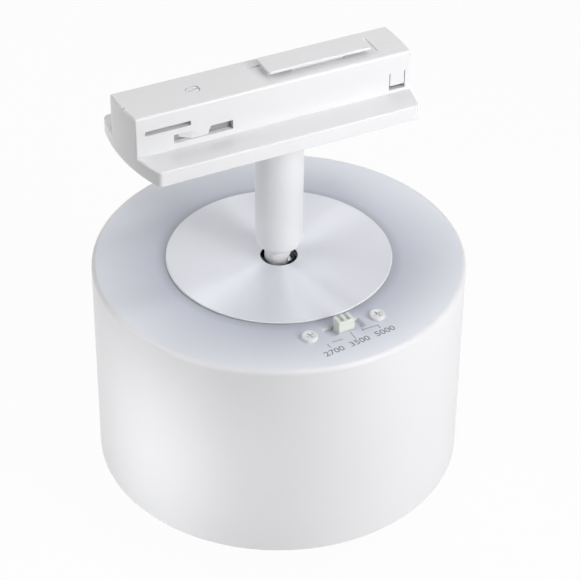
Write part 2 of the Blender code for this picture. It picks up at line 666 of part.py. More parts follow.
def make_knuckle(frame, finish):
    """Shank in the stem, and a tongue with a rounded end that holds the two pivot pins."""
    axis = empty("knuckle_axis", (0, 0, PIVOT_Z), frame)
    half = TONGUE_THICKNESS / 2
    half_width = TONGUE_WIDTH / 2
    tongue_top = NOSE_Z - FIT - PIVOT_Z
    shank_top = SHANK_TOP - PIVOT_Z
    tongue = [(half, tongue_top), (-half, tongue_top)] + arc((0, 0), (half, half), 180, 360, 8)
    knuckle = piece("knuckle", finish, axis, prism(tongue, -half_width, half_width, "X"))
    join(knuckle, rod(SHANK_DIAMETER / 2, tongue_top - half / 2, shank_top, sides=SMALL_SIDES))
    cable_way = rod(CABLE_DIAMETER / 2 + FIT, -TONGUE_THICKNESS, 2 * shank_top)
    hole_end = half_width - PIVOT_INSERT - FIT
    hole = PIVOT_DIAMETER / 2 + FIT
    holes = [rod(hole, side * hole_end, side * TONGUE_WIDTH, axis="X") for side in (-1, 1)]
    cut(knuckle, cable_way, *holes)


def make_stem(frame, white, steel, grey):
    make_stem_tube(frame, white)
    make_knuckle(frame, white)
    rim = NIPPLE_DIAMETER / 2
    nipple_foot = STEM_TOP - NIPPLE_IN_STEM
    nipple = ring(rim, NIPPLE_BORE / 2, nipple_foot, NUT_TOP + NIPPLE_PROUD, SMALL_SIDES)
    piece("stem_nipple", steel, frame, nipple)
    nut = piece("stem_nut", steel, frame, prism(hexagon(NUT_FLATS), WASHER_TOP + FIT, NUT_TOP))
    cut(nut, rod(rim + FIT, SEAT_Z, BOX_HEIGHT, sides=SMALL_SIDES))
    top = CARRIER_LEVEL - 2 * FIT
    foot = PIVOT_Z - TONGUE_THICKNESS / 2 + FIT
    route = [(0, 0, top), (0, 0, (top + foot) / 2), (0, 0, foot)]
    cable("stem_cable", grey, frame, route, CABLE_DIAMETER)


# Head: levels are measured from the drum's top surface

def make_disc(frame, level, finish, steel):
    """Thin cover disc, its top dished towards its hole, with two studs and their nuts."""
    rim = DISC_DIAMETER / 2
    hole = DISC_HOLE / 2
    top = DISC_GAP + DISC_THICKNESS
    profile = [(hole, top - DISC_DISH), (rim - DISC_EDGE, top), (rim, top - DISC_EDGE), (rim, DISC_GAP),
               (hole, DISC_GAP)]
    disc = piece("canopy_disc", finish, frame, turn(profile, LARGE_SIDES), level=level)
    stud_foot = DISC_NUT_FOOT - STUD_END
    stud_top = DISC_GAP + (DISC_THICKNESS - DISC_DISH) / 2
    places = [(-STUD_SPACING / 2, 0), (STUD_SPACING / 2, 0)]
    join(disc, *[rod(STUD_DIAMETER / 2, stud_foot, stud_top, spot) for spot in places])
    for spot, word in zip(places, ("left", "right")):
        nut_shape = prism(hexagon(DISC_NUT_FLATS, spot), DISC_NUT_FOOT, BRACKET_FOOT - FIT)
        nut = piece(f"disc_nut_{word}", steel, frame, nut_shape, level=level)
        cut(nut, rod(STUD_DIAMETER / 2 + FIT, 2 * stud_foot, 0, spot))


def make_bracket(frame, level, finish):
    """Plate under the drum's top, with two ears for the pivot pins."""
    plate = prism(oblong(BRACKET_LENGTH / 2, BRACKET_WIDTH / 2), BRACKET_FOOT, BRACKET_TOP)
    bracket = piece("pivot_bracket", finish, frame, plate, level=level)
    head_side = PIVOT_HEAD_DIAMETER / 2
    ear_foot = BRACKET_FOOT + BRACKET_THICKNESS / 2
    ear_top = head_side - PIVOT_BELOW_TOP
    ear_half = EAR_WIDTH / 2
    join(bracket, *[block((side * EAR_INNER, -ear_half, ear_foot), (side * EAR_OUTER, ear_half, ear_top))
                    for side in (-1, 1)])
    below = 2 * BRACKET_FOOT
    above = BRACKET_TOP + FIT
    window = EAR_INNER - FIT
    tongue_way = block((-window, -TONGUE_THICKNESS, below), (window, TONGUE_THICKNESS, above))
    head_end = EAR_OUTER + PIVOT_HEAD_HEIGHT + 2 * FIT
    notch = head_side + FIT
    head_ways = [block((side * EAR_OUTER, -notch, below), (side * head_end, notch, above))
                 for side in (-1, 1)]
    stud_ways = [rod(STUD_DIAMETER / 2 + FIT, below, 0, (side * STUD_SPACING / 2, 0)) for side in (-1, 1)]
    cut(bracket, tongue_way, *head_ways, *stud_ways)
    cut(bracket, rod(PIVOT_DIAMETER / 2 + FIT, -head_end, head_end, (0, -PIVOT_BELOW_TOP), "X"))


def make_pivots(frame, steel, fibre):
    """A headed pin and a friction washer on each side of the tongue."""
    shank = PIVOT_DIAMETER / 2
    head = PIVOT_HEAD_DIAMETER / 2
    tip = TONGUE_WIDTH / 2 - PIVOT_INSERT
    under_head = EAR_OUTER + FIT
    end = under_head + PIVOT_HEAD_HEIGHT
    pin = [(0, end), (head, end), (head, under_head), (shank, under_head), (shank, tip), (0, tip)]
    washer_foot = TONGUE_WIDTH / 2 + FIT
    for side, word in ((-1, "left"), (1, "right")):
        axis = empty(f"pivot_axis_{word}", (0, 0, 0), frame)
        axis.rotation_euler = (0, side * math.pi / 2, 0)
        piece(f"pivot_pin_{word}", steel, axis, turn(pin, TINY_SIDES))
        washer = ring(head, shank + FIT, washer_foot, washer_foot + FRICTION_WASHER, TINY_SIDES)
        piece(f"friction_washer_{word}", fibre, axis, washer)


def make_drum(frame, level, finish):
    """Drum wall and top in one, with three posts inside for the heat spreader."""
    rim = DRUM_DIAMETER / 2
    opening = TOP_OPENING / 2
    profile = [(opening, 0)]
    profile += arc((rim - DRUM_EDGE, -DRUM_EDGE), (DRUM_EDGE, DRUM_EDGE), 90, 0, DRUM_EDGE_STEPS)
    profile += [(rim, DRUM_FOOT_EDGE - DRUM_HEIGHT), (rim - DRUM_FOOT_EDGE, -DRUM_HEIGHT)]
    profile += [(DRUM_INNER, -DRUM_HEIGHT), (DRUM_INNER, -DRUM_TOP), (opening, -DRUM_TOP)]
    drum = piece("drum_shell", finish, frame, turn(profile, LARGE_SIDES), level=level)
    foot = -SPREADER_DEPTH + FIT
    join(drum, *[rod(POST_DIAMETER / 2, foot, -DRUM_TOP / 2, spot) for spot in POST_PLACES])
    hole = SPREADER_SCREW_DIAMETER / 2 + FIT
    hole_top = foot + SPREADER_SCREW_INSERT + FIT
    cut(drum, *[rod(hole, 2 * foot, hole_top, spot) for spot in POST_PLACES])
    stud_side = STUD_SPACING / 2
    stud_hole = STUD_DIAMETER / 2 + FIT
    cut(drum, *[rod(stud_hole, -2 * DRUM_TOP, DRUM_TOP, (side * stud_side, 0)) for side in (-1, 1)])
    return drum


def make_selector(drum, frame, level, cream, paint, white):
    """Slide switch under the drum's top: its body, its two screws and its knob."""
    centre = (SWITCH_RADIUS * math.cos(SWITCH_AZIMUTH), SWITCH_RADIUS * math.sin(SWITCH_AZIMUTH), level)
    guide = empty("selector_guide", centre, frame, SWITCH_AZIMUTH + math.pi / 2)
    shank = SWITCH_SCREW_DIAMETER / 2
    screw_places = [(-SWITCH_SCREW_SPACING / 2, 0), (SWITCH_SCREW_SPACING / 2, 0)]
    screw_ways = [rod(shank + FIT, 2 * SWITCH_FOOT, DRUM_TOP, spot) for spot in screw_places]
    slot = centred_block((0, 0), (SLOT_LENGTH, SLOT_WIDTH, 3 * DRUM_TOP), -2 * DRUM_TOP)
    cut(drum, slot, *screw_ways, frame=guide)

    half_length = SLOT_LENGTH / 2 + SWITCH_BODY_WALL
    half_width = SLOT_WIDTH / 2 + SWITCH_BODY_WALL
    case = oblong(half_length, half_width)
    plate = oblong(SWITCH_SCREW_SPACING / 2 + SWITCH_PLATE_MARGIN, half_width + FIT)
    levels = [(SWITCH_TOP, plate), (SWITCH_PLATE_FOOT, plate), (SWITCH_PLATE_FOOT, case), (SWITCH_FOOT, case)]
    body = piece("switch_body", white, guide, stack(levels))
    knob_foot = SWITCH_TOP - KNOB_FOOT
    channel = centred_block((0, 0), (SLOT_LENGTH, SLOT_WIDTH, KNOB_FOOT + 2 * FIT), knob_foot - FIT)
    cut(body, channel, *screw_ways)

    plan = oblong(KNOB_LENGTH / 2, KNOB_WIDTH / 2)
    knob = piece("selector_knob", cream, guide, prism(plan, knob_foot, KNOB_HEIGHT))
    ridge = (KNOB_LENGTH - 2 * KNOB_GROOVE_WIDTH) / 3
    groove_x = (ridge + KNOB_GROOVE_WIDTH) / 2
    groove = (KNOB_GROOVE_WIDTH, KNOB_WIDTH, 2 * KNOB_GROOVE_DEPTH)
    groove_foot = KNOB_HEIGHT - KNOB_GROOVE_DEPTH
    cut(knob, *[centred_block((side * groove_x, KNOB_FRONT), groove, groove_foot) for side in (-1, 1)])

    head = SWITCH_SCREW_HEAD / 2
    brim = FIT + SWITCH_SCREW_BRIM
    tip = SWITCH_PLATE_FOOT - SWITCH_SCREW_END
    dome = arc((0, brim), (head, SWITCH_SCREW_DOME), 90, 0, 4)
    profile = [(0, brim + SWITCH_SCREW_DOME)] + dome[1:] + [(head, FIT), (shank, FIT), (shank, tip), (0, tip)]
    for spot, word in zip(screw_places, ("left", "right")):
        axis = empty(f"switch_screw_axis_{word}", (*spot, 0), guide)
        piece(f"switch_screw_{word}", paint, axis, turn(profile, TINY_SIDES))


def make_driver(frame, level, green, dark, fibre, grey, steel, copper):
    """Round driver board on standoffs over an insulating sheet, with its large components."""
    radius = BOARD_DIAMETER / 2 - STANDOFF_FROM_EDGE
    standoffs = [(radius * math.cos(a), radius * math.sin(a)) for a in POST_AZIMUTHS]
    foot = -SPREADER_DEPTH + FIT
    sheet_rim = BOARD_DIAMETER / 2 + SHEET_MARGIN
    sheet_shape = rod(sheet_rim, foot, foot + SHEET_THICKNESS, sides=MEDIUM_SIDES)
    sheet = piece("insulating_sheet", fibre, frame, sheet_shape, level=level)
    cable_way = rod(CABLE_HOLE / 2, 2 * foot, 0)
    cut(sheet, cable_way, *[rod(STANDOFF_DIAMETER / 2 + FIT, 2 * foot, 0, spot) for spot in standoffs])
    for number, spot in enumerate(standoffs, 1):
        pillar = rod(STANDOFF_DIAMETER / 2, foot, BOARD_FOOT - FIT, spot)
        piece(f"driver_standoff_{number}", steel, frame, pillar, level=level)
    board_shape = rod(BOARD_DIAMETER / 2, BOARD_FOOT, BOARD_TOP, sides=MEDIUM_SIDES)
    board = piece("driver_board", green, frame, board_shape, level=level)
    cut(board, cable_way)
    boxes = (("transformer", (-COMPONENT_X, COMPONENT_Y), TRANSFORMER, dark),
             ("choke", (-COMPONENT_X, -COMPONENT_Y), CHOKE, copper),
             ("terminal_block", (0, -COMPONENT_Y), TERMINAL, grey))
    for name, spot, size, finish in boxes:
        piece(name, finish, frame, centred_block(spot, size, COMPONENT_FOOT), level=level)
    cans = (("capacitor_tall", (COMPONENT_X, COMPONENT_Y), CAPACITOR_TALL),
            ("capacitor_short", (COMPONENT_X, -COMPONENT_Y), CAPACITOR_SHORT))
    for name, spot, (diameter, height) in cans:
        can = rod(diameter / 2, COMPONENT_FOOT, COMPONENT_FOOT + height, spot)
        piece(name, dark, frame, can, level=level)


def make_wiring(frame, level, grey):
    """Cables inside the drum: stem to driver, driver to light source, and selector to driver."""
    start = KNUCKLE_END - FIT
    end = COMPONENT_FOOT + TERMINAL[2] + FIT
    span = end - start
    route = [(0, 0, start), (0, 0, start + span / 4), (0, -COMPONENT_Y / 2, start + span / 2),
             (0, -COMPONENT_Y, end - span / 8), (0, -COMPONENT_Y, end)]
    cable("driver_cable", grey, frame, route, CABLE_DIAMETER, level)
    top = BOARD_TOP + FIT
    foot = LED_BOARD_TOP + FIT
    route = [(0, 0, top), (0, 0, (top + foot) / 2), (0, 0, foot)]
    cable("led_cable", grey, frame, route, WIRE_DIAMETER, level)
    outward = Vector((math.cos(SWITCH_AZIMUTH), math.sin(SWITCH_AZIMUTH), 0))
    at_switch = outward * SWITCH_RADIUS + Vector((0, 0, SWITCH_FOOT - FIT))
    at_board = outward * (BOARD_DIAMETER / 2 - 2 * WIRE_DIAMETER) + Vector((0, 0, top))
    fall = Vector((0, 0, at_switch.z - at_board.z))
    halfway = (at_switch + at_board) / 2 - fall / 6
    route = [at_switch, at_switch - fall / 3, halfway, at_board + fall / 5, at_board]
    cable("selector_cable", grey, frame, route, WIRE_DIAMETER, level)


def make_spreader(frame, level, metal, steel):
    """Heat spreader, and the three screws that hold it to the drum's posts."""
    plate = rod(SEAT_RADIUS, SPREADER_FOOT, -SPREADER_DEPTH, sides=LARGE_SIDES)
    spreader = piece("heat_spreader", metal, frame, plate, level=level)
    shank = SPREADER_SCREW_DIAMETER / 2
    screw_ways = [rod(shank + FIT, 2 * SPREADER_FOOT, 0, spot) for spot in POST_PLACES]
    cut(spreader, rod(CABLE_HOLE / 2, 2 * SPREADER_FOOT, 0), *screw_ways)
    head = SPREADER_SCREW_HEAD / 2
    brim = SPREADER_FOOT - FIT
    crown = brim - SPREADER_SCREW_HEAD_HEIGHT
    tip = -SPREADER_DEPTH + FIT + SPREADER_SCREW_INSERT
    profile = [(0, tip), (shank, tip), (shank, brim), (head, brim), (head, crown), (0, crown)]
    for number, spot in enumerate(POST_PLACES, 1):
        axis = empty(f"spreader_screw_axis_{number}", (*spot, level), frame)
        piece(f"spreader_screw_{number}", steel, axis, turn(profile, TINY_SIDES))


def make_light_source(frame, level, pale, reflective, opal, white):
    """Board with two rings of LEDs, the reflector cone, the diffuser and the bezel."""
    board_shape = rod(LED_RIM, LED_BOARD_FOOT, LED_BOARD_TOP, sides=MEDIUM_SIDES)
    board = piece("led_board", pale, frame, board_shape, level=level)
    chip = (LED_SIZE, LED_SIZE, 2 * LED_HEIGHT)
    spots = circle(LED_INNER_RING, LED_INNER_COUNT)
    spots += circle(LED_RIM - LED_OUTER_RING_FROM_EDGE, LED_OUTER_COUNT)
    join(board, *[centred_block(spot, chip, LED_BOARD_FOOT - LED_HEIGHT) for spot in spots])
    high = LED_BOARD_FOOT - FIT
    low = DIFFUSER_TOP + FIT
    mouth = LED_RIM + REFLECTOR_FLARE
    cone = [(LED_RIM, high), (mouth, low), (mouth - REFLECTOR_WALL, low), (LED_RIM - REFLECTOR_WALL, high)]
    piece("reflector", reflective, frame, turn(cone, MEDIUM_SIDES), level=level)
    lens = rod(SEAT_RADIUS, DIFFUSER_FOOT, DIFFUSER_TOP, sides=LARGE_SIDES)
    piece("diffuser", opal, frame, lens, level=level)
    bezel = ring(SEAT_RADIUS, SEAT_RADIUS - BEZEL_WIDTH, BEZEL_FOOT, BEZEL_TOP, LARGE_SIDES)
    piece("bezel_ring", white, frame, bezel, level=level)


def main():
    for old in list(bpy.data.objects):
        bpy.data.objects.remove(old)
    moulding = surface("white_moulded_plastic", (0.86, 0.86, 0.87), 0.45)
    paint = surface("white_paint", (0.84, 0.84, 0.86), 0.3)
    gloss = surface("gloss_white_paint", (0.85, 0.86, 0.88), 0.15)
    black = surface("black_paint", (0.03, 0.03, 0.035), 0.5)
    cream = surface("cream_plastic", (0.80, 0.83, 0.76), 0.5)
    steel = surface("zinc_plated_steel", (0.70, 0.70, 0.72), 0.3, 1.0)
    tinned = surface("tinned_brass", (0.62, 0.61, 0.58), 0.35, 1.0)
    copper = surface("copper_wire", (0.72, 0.38, 0.22), 0.4)
    metal = surface("aluminium", (0.75, 0.76, 0.77), 0.4, 1.0)
    green = surface("circuit_board", (0.05, 0.25, 0.12), 0.5)
    dark = surface("black_plastic", (0.04, 0.04, 0.045), 0.5)
    fibre = surface("fibre_sheet", (0.75, 0.70, 0.58), 0.8)
    grey = surface("grey_sheath", (0.45, 0.45, 0.47), 0.6)
    opal = surface("opal_plastic", (0.92, 0.92, 0.90), 0.5)

    adapter = empty("track_adapter_frame", (0, 0, 0))
    stem = empty("stem_axis", (0, 0, 0), adapter)
    head = empty("head_axis", (0, 0, PIVOT_Z), stem)
    level = PIVOT_BELOW_TOP
    make_adapter(adapter, moulding, tinned, steel, copper)
    make_stem(stem, paint, steel, grey)
    make_disc(head, level, gloss, steel)
    make_bracket(head, level, black)
    make_pivots(head, steel, fibre)
    drum = make_drum(head, level, paint)
    make_selector(drum, head, level, cream, paint, moulding)
    make_driver(head, level, green, dark, fibre, grey, steel, copper)
    make_wiring(head, level, grey)
    make_spreader(head, level, metal, steel)
    make_light_source(head, level, metal, moulding, opal, paint)


main()
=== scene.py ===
# %% [markdown]
# # A drum track light
#
# The light plugs into a ceiling track with the slim adapter at its top. A short stem hangs from the
# adapter, and a wide white drum tilts on the stem's end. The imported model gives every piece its
# place and size. This lesson gives the pieces that show their rounded edges, fine cuts and finishes.

# %% Load the frame
import json
import math

import bmesh
import bpy
from mathutils import Matrix, Vector


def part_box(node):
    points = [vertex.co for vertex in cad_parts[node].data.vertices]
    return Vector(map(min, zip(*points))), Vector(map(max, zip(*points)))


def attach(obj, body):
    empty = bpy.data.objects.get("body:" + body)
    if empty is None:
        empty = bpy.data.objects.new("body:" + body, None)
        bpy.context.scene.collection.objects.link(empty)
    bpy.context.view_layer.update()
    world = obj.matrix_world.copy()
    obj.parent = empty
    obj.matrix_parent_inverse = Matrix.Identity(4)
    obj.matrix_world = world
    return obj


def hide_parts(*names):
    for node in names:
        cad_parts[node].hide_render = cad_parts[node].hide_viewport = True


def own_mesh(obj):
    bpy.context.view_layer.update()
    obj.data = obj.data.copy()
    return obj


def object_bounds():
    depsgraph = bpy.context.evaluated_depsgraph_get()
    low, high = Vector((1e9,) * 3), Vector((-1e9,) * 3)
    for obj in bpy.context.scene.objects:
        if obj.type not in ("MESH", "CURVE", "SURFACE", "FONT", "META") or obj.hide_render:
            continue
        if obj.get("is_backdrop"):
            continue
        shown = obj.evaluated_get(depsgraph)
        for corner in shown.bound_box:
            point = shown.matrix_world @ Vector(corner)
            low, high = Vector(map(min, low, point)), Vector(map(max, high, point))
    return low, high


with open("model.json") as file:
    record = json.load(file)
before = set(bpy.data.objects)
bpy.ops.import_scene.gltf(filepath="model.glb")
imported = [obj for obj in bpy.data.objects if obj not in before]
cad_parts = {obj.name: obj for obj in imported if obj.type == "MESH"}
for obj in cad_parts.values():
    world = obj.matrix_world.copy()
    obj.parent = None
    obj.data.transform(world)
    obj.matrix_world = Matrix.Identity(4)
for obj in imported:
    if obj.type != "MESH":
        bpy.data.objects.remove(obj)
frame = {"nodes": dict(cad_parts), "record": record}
cad_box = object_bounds()
MM = 0.001

# %% [markdown]
# ## Measures
#
# The main places come from the frame's own boxes: the flange, the box on it, the stem, the disc and the
# drum. A box gives the lowest and the highest corner of a node, in metres.

# %% Measure the frame
flange_low, flange_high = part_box("adapter_base")
box_low, box_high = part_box("adapter_cover")
pad_low, pad_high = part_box("pressure_pad")
stem_low, stem_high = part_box("stem_tube")
disc_low, disc_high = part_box("canopy_disc")
drum_low, drum_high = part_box("drum_shell")
bezel_low, bezel_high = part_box("bezel_ring")
lens_low, lens_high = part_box("diffuser")
drum_radius = drum_high.x
print(f"drum {2 * drum_radius / MM:.1f} mm across, {(drum_high.z - drum_low.z) / MM:.1f} mm tall")
print(f"disc {(disc_high.x - disc_low.x) / MM:.1f} mm across")

# %% [markdown]
# ## Colours and nodes
#
# Colours are written as hex values, the way a paint chart gives them, and turned to linear light for
# the shader. One function adds a node with its settings and its links, so each material reads as a
# short list of what the surface does.

# %% Colour and node helpers


def linear(code):
    """A hex colour as linear RGBA."""
    shares = [int(code[i:i + 2], 16) / 255 for i in (1, 3, 5)]
    return [s / 12.92 if s <= 0.04045 else ((s + 0.055) / 1.055) ** 2.4 for s in shares] + [1.0]


def add_node(tree, kind, values=None, links=None, **settings):
    """Add a node, set its properties and sockets, and link other nodes' outputs to its sockets."""
    node = tree.nodes.new(kind)
    for name, value in settings.items():
        setattr(node, name, value)
    for socket, value in (values or {}).items():
        node.inputs[socket].default_value = value
    for socket, output in (links or {}).items():
        tree.links.new(output, node.inputs[socket])
    return node


def new_material(name):
    material = bpy.data.materials.new(name)
    material.use_nodes = True
    material.node_tree.nodes.clear()
    return material, material.node_tree


def per(millimetres):
    """A texture scale that repeats once in a real size."""
    return 1 / (millimetres * MM)


print("F2F2F2 on a paint chart is", [round(c, 3) for c in linear("#F2F2F2")], "in linear light")

# %% [markdown]
# ## One skin for coats and mouldings
#
# Paint, moulded plastic and plated metal differ in colour and gloss, but they break the light in the same
# way: the tone and the gloss drift slowly over the surface, and a fine peel or grain roughens it. A
# function draws that skin from the sizes of the drift and of the peel. Constant values go straight to
# the shader's own sockets.

# %% A skin of drifting tone and fine peel
GLOSS_DRIFT = 0.1


def skin(name, light, dark, roughness, drift, peel, depth, **constants):
    """A material from two tones, a roughness, and the sizes in mm of its drift, its peel and its depth."""
    material, tree = new_material(name)
    place = add_node(tree, "ShaderNodeTexCoord").outputs["Object"]
    slow = add_node(tree, "ShaderNodeTexNoise", {"Scale": per(drift), "Detail": 2.0}, {"Vector": place})
    tone = add_node(tree, "ShaderNodeMix", {"A": linear(dark), "B": linear(light)},
                    {"Factor": slow.outputs["Fac"]}, data_type="RGBA")
    gloss = add_node(tree, "ShaderNodeMapRange",
                     {"To Min": roughness * (1 - GLOSS_DRIFT), "To Max": roughness * (1 + GLOSS_DRIFT)},
                     {"Value": slow.outputs["Fac"]})
    fine = add_node(tree, "ShaderNodeTexNoise", {"Scale": per(peel), "Detail": 1.0}, {"Vector": place})
    bump = add_node(tree, "ShaderNodeBump", {"Strength": 1.0, "Distance": depth * MM},
                    {"Height": fine.outputs["Fac"]})
    sockets = {word.replace("_", " "): value for word, value in constants.items()}
    shader = add_node(tree, "ShaderNodeBsdfPrincipled", sockets,
                      {"Base Color": tone.outputs["Result"], "Roughness": gloss.outputs["Result"],
                       "Normal": bump.outputs["Normal"]})
    add_node(tree, "ShaderNodeOutputMaterial", links={"Surface": shader.outputs["BSDF"]})
    return material


# ABS moulded in a spark-eroded tool: satin white, glossy enough for the flange to mirror the box.
# The tool's grain is about 0.05 mm, and is drawn at 0.4 mm to show.
abs_white = skin("Moulded white ABS", "#F3F3F4", "#F0F0F2", 0.24, 30, 0.4, 0.001, IOR=1.53)
# Polyester powder coat on steel: the melted powder leaves a soft orange peel, 0.9 mm from crest to crest.
coat_white = skin("White powder coat", "#F0F0F2", "#EDEDEF", 0.34, 40, 0.9, 0.002, IOR=1.5)
# The drum's top gets a cooler white of the same coat, which looks faintly lavender beside the wall.
coat_cool = skin("Cool white powder coat", "#F4F6FE", "#F1F3FB", 0.42, 40, 0.9, 0.002, IOR=1.5)
# Acetal for the small slider: a waxy, greenish cream.
cream = skin("Moulded cream acetal", "#F0F3EA", "#EBEFE5", 0.35, 8, 0.4, 0.002, IOR=1.48)
# Opal acrylic: milky, with a little light passing under its skin.
opal = skin("Opal acrylic", "#F4F4F2", "#F1F1EF", 0.25, 30, 1.5, 0.001, IOR=1.49,
            Subsurface_Weight=0.15, Subsurface_Scale=2 * MM)
# Screen-printing ink: matt grey, with a slightly uneven edge to its tone.
ink = skin("Grey screen ink", "#9699A2", "#8C8F98", 0.6, 1, 0.3, 0.001)
print("skins:", [m.name for m in (abs_white, coat_white, coat_cool, cream, opal, ink)])

# %% [markdown]
# ## Painted shade towards the disc
#
# The drum's top is painted darker towards the disc, down to a grey beside it. This is painted shade, standing
# in for the shade around the disc and under the adapter. The distance from the drum's axis drives a ramp, and
# the ramp darkens the coat. Rings of several paints could do the same, but each would end in a seam, and a
# ramp has none.

# %% Painted shade on the drum's top
# Distances from the axis in mm, each with the painted shade that darkens the coat there.
PAINTED_SHADE_STOPS = ((33.5, "#BCBEC3"), (36.5, "#D8DADF"), (54.0, "#FFFFFF"))
painted_shade_end = PAINTED_SHADE_STOPS[-1][0]
tree = coat_cool.node_tree
place = add_node(tree, "ShaderNodeTexCoord").outputs["Object"]
level = add_node(tree, "ShaderNodeVectorMath", {1: (1, 1, 0)}, {0: place}, operation="MULTIPLY")
radius = add_node(tree, "ShaderNodeVectorMath", links={0: level.outputs["Vector"]}, operation="LENGTH")
share = add_node(tree, "ShaderNodeMapRange", {"From Max": painted_shade_end * MM},
                 {"Value": radius.outputs["Value"]})
ramp = add_node(tree, "ShaderNodeValToRGB", links={"Fac": share.outputs["Result"]})
stops = ramp.color_ramp.elements
stops.new(PAINTED_SHADE_STOPS[1][0] / painted_shade_end)
for stop, (distance, tint) in zip(stops, PAINTED_SHADE_STOPS):
    stop.position = distance / painted_shade_end
    stop.color = linear(tint)
# The ramp multiplies the coat's tone. This is painted shade, darkest beside the disc.
painted_shade = add_node(tree, "ShaderNodeMix", {"Factor": 1.0},
                  {"A": tree.nodes["Mix"].outputs["Result"], "B": ramp.outputs["Color"]},
                  data_type="RGBA", blend_type="MULTIPLY")
tree.links.new(painted_shade.outputs["Result"], tree.nodes["Principled BSDF"].inputs["Base Color"])
print("coat tinted at", [stop[0] for stop in PAINTED_SHADE_STOPS], "mm from the axis")

# %% [markdown]
# ## Spun gloss enamel
#
# The cover disc was turned on a lathe before it was painted, so fine rings remain under the gloss. Rings
# stretch every highlight across them, which gives the disc its light and dark wedges. An anisotropic
# shader with a tangent around the axis draws those wedges without drawing each ring, and a quarter turn of
# its grain points a wedge at each lamp.

# %% Spun enamel
# Gloss enamel over turned steel: a soft sheen in wedges, which swing around with the lamps.
enamel = skin("White enamel on a spun disc", "#EDEFF5", "#EAECF3", 0.4, 40, 2.5, 0.0002, IOR=1.6,
              Anisotropic=1.0, Anisotropic_Rotation=0.25, Metallic=0.15)
tree = enamel.node_tree
around = add_node(tree, "ShaderNodeTangent", direction_type="RADIAL", axis="Z")
tree.links.new(around.outputs["Tangent"], tree.nodes["Principled BSDF"].inputs["Tangent"])
print(enamel.name, "has its rings about Z")

# %% [markdown]
# ## Outlines
#
# Moulded and turned pieces start from a drawn outline with rounded corners. One function rounds each corner
# by its own radius, as a draughtsman does, and a second one draws the rectangle that most pieces need.

# %% Outlines


def fillet(points, steps=6):
    """Corners of an outline of (x, y, radius) points, with each radius rounded by an arc."""
    outline = []
    for before, (x, y, radius), after in zip(points[-1:] + points[:-1], points, points[1:] + points[:1]):
        corner = Vector((x, y))
        if not radius:
            outline.append(corner)
            continue
        back = (Vector(before[:2]) - corner).normalized()
        on = (Vector(after[:2]) - corner).normalized()
        half = back.angle(on) / 2
        centre = corner + (back + on).normalized() * radius / math.sin(half)
        start = corner + back * radius / math.tan(half) - centre
        turn = start.angle_signed(corner + on * radius / math.tan(half) - centre)
        outline += [centre + Matrix.Rotation(-turn * i / steps, 2) @ start for i in range(steps + 1)]
    return [(point.x, point.y) for point in outline]


def oblong(half_length, half_width, radius=0.0, centre=(0, 0)):
    """A rectangle about a centre, with rounded corners."""
    signs = ((-1, -1), (1, -1), (1, 1), (-1, 1))
    return fillet([(centre[0] + a * half_length, centre[1] + b * half_width, radius) for a, b in signs])


print("a rounded oblong has", len(oblong(2, 1, 0.2)), "corners")

# %% [markdown]
# ## Solids from outlines
#
# Outlines are skinned between levels, or a profile is turned about an upright axis, as on a lathe. Rims are
# rounded by setting the outline back level by level, which never folds over at a tight corner as a bevel can.

# %% Solids from outlines
# Points that lie closer than this are one point.
MERGE = 0.0005 * MM


def stack(work, levels):
    """Skin outlines at their levels, from (level, outline) pairs, and close both ends."""
    rows = [[work.verts.new((x, y, level)) for x, y in outline] for level, outline in levels]
    for low, high in zip(rows, rows[1:]):
        for i in range(len(low)):
            j = (i + 1) % len(low)
            work.faces.new((low[i], low[j], high[j], high[i]))
    work.faces.new(rows[0])
    work.faces.new(rows[-1])


def prism(work, outline, low, high):
    stack(work, [(low, outline), (high, outline)])


def block(work, low, high):
    (left, near, foot), (right, far, top) = low, high
    prism(work, [(left, near), (right, near), (right, far), (left, far)], foot, top)


def rounded(work, plan, low, high, top_radius, foot_radius=0.0, steps=5):
    """Skin a plan between two levels and round its rims. plan(inset) is the outline set back by an inset."""
    levels = []
    if foot_radius:
        for i in range(steps, 0, -1):
            angle = math.pi / 2 * i / steps
            inset = foot_radius * (1 - math.cos(angle))
            levels.append((low + foot_radius * (1 - math.sin(angle)), plan(inset)))
    levels.append((low + foot_radius, plan(0)))
    for i in range(steps + 1):
        angle = math.pi / 2 * i / steps
        inset = top_radius * (1 - math.cos(angle))
        levels.append((high - top_radius * (1 - math.sin(angle)), plan(inset)))
    stack(work, levels)


def turned(work, profile, sides=256, centre=(0, 0)):
    """Turn a closed (radius, level) profile about an upright axis."""
    ring = [work.verts.new((centre[0] + radius, centre[1], level)) for radius, level in profile]
    edges = [work.edges.new((a, b)) for a, b in zip(ring, ring[1:] + ring[:1])]
    bmesh.ops.spin(work, geom=ring + edges, cent=(*centre, 0), axis=(0, 0, 1), angle=2 * math.pi,
                   steps=sides, use_merge=True)
    bmesh.ops.remove_doubles(work, verts=work.verts, dist=MERGE)
    bmesh.ops.dissolve_degenerate(work, edges=work.edges, dist=MERGE)
    loose = [edge for edge in work.edges if not edge.link_faces]
    bmesh.ops.delete(work, geom=loose, context="EDGES")


print("solids come from stacks, prisms, rounded plans and turned profiles")

# %% [markdown]
# ## Objects, cuts and finishes
#
# Holes are cut with an exact Boolean, which leaves the crisp edge of a tool. Weighted normals keep flat faces
# flat beside rounded rims. The last function gives a piece its finish, ties it to the body that carries it
# and hides the nodes that it stands for.

# %% Objects, cuts and finishes
SHARP_ANGLE = math.radians(35)
# The largest face alone sets the normals at its edges.
FLAT_WEIGHT = 100


def to_object(name, work):
    bmesh.ops.recalc_face_normals(work, faces=work.faces)
    mesh = bpy.data.meshes.new(name)
    work.to_mesh(mesh)
    work.free()
    piece = bpy.data.objects.new(name, mesh)
    bpy.context.scene.collection.objects.link(piece)
    return piece


def weld(mesh, distance):
    """Merge the points of a mesh that lie within a distance."""
    work = bmesh.new()
    work.from_mesh(mesh)
    bmesh.ops.remove_doubles(work, verts=work.verts, dist=distance)
    work.to_mesh(mesh)
    work.free()


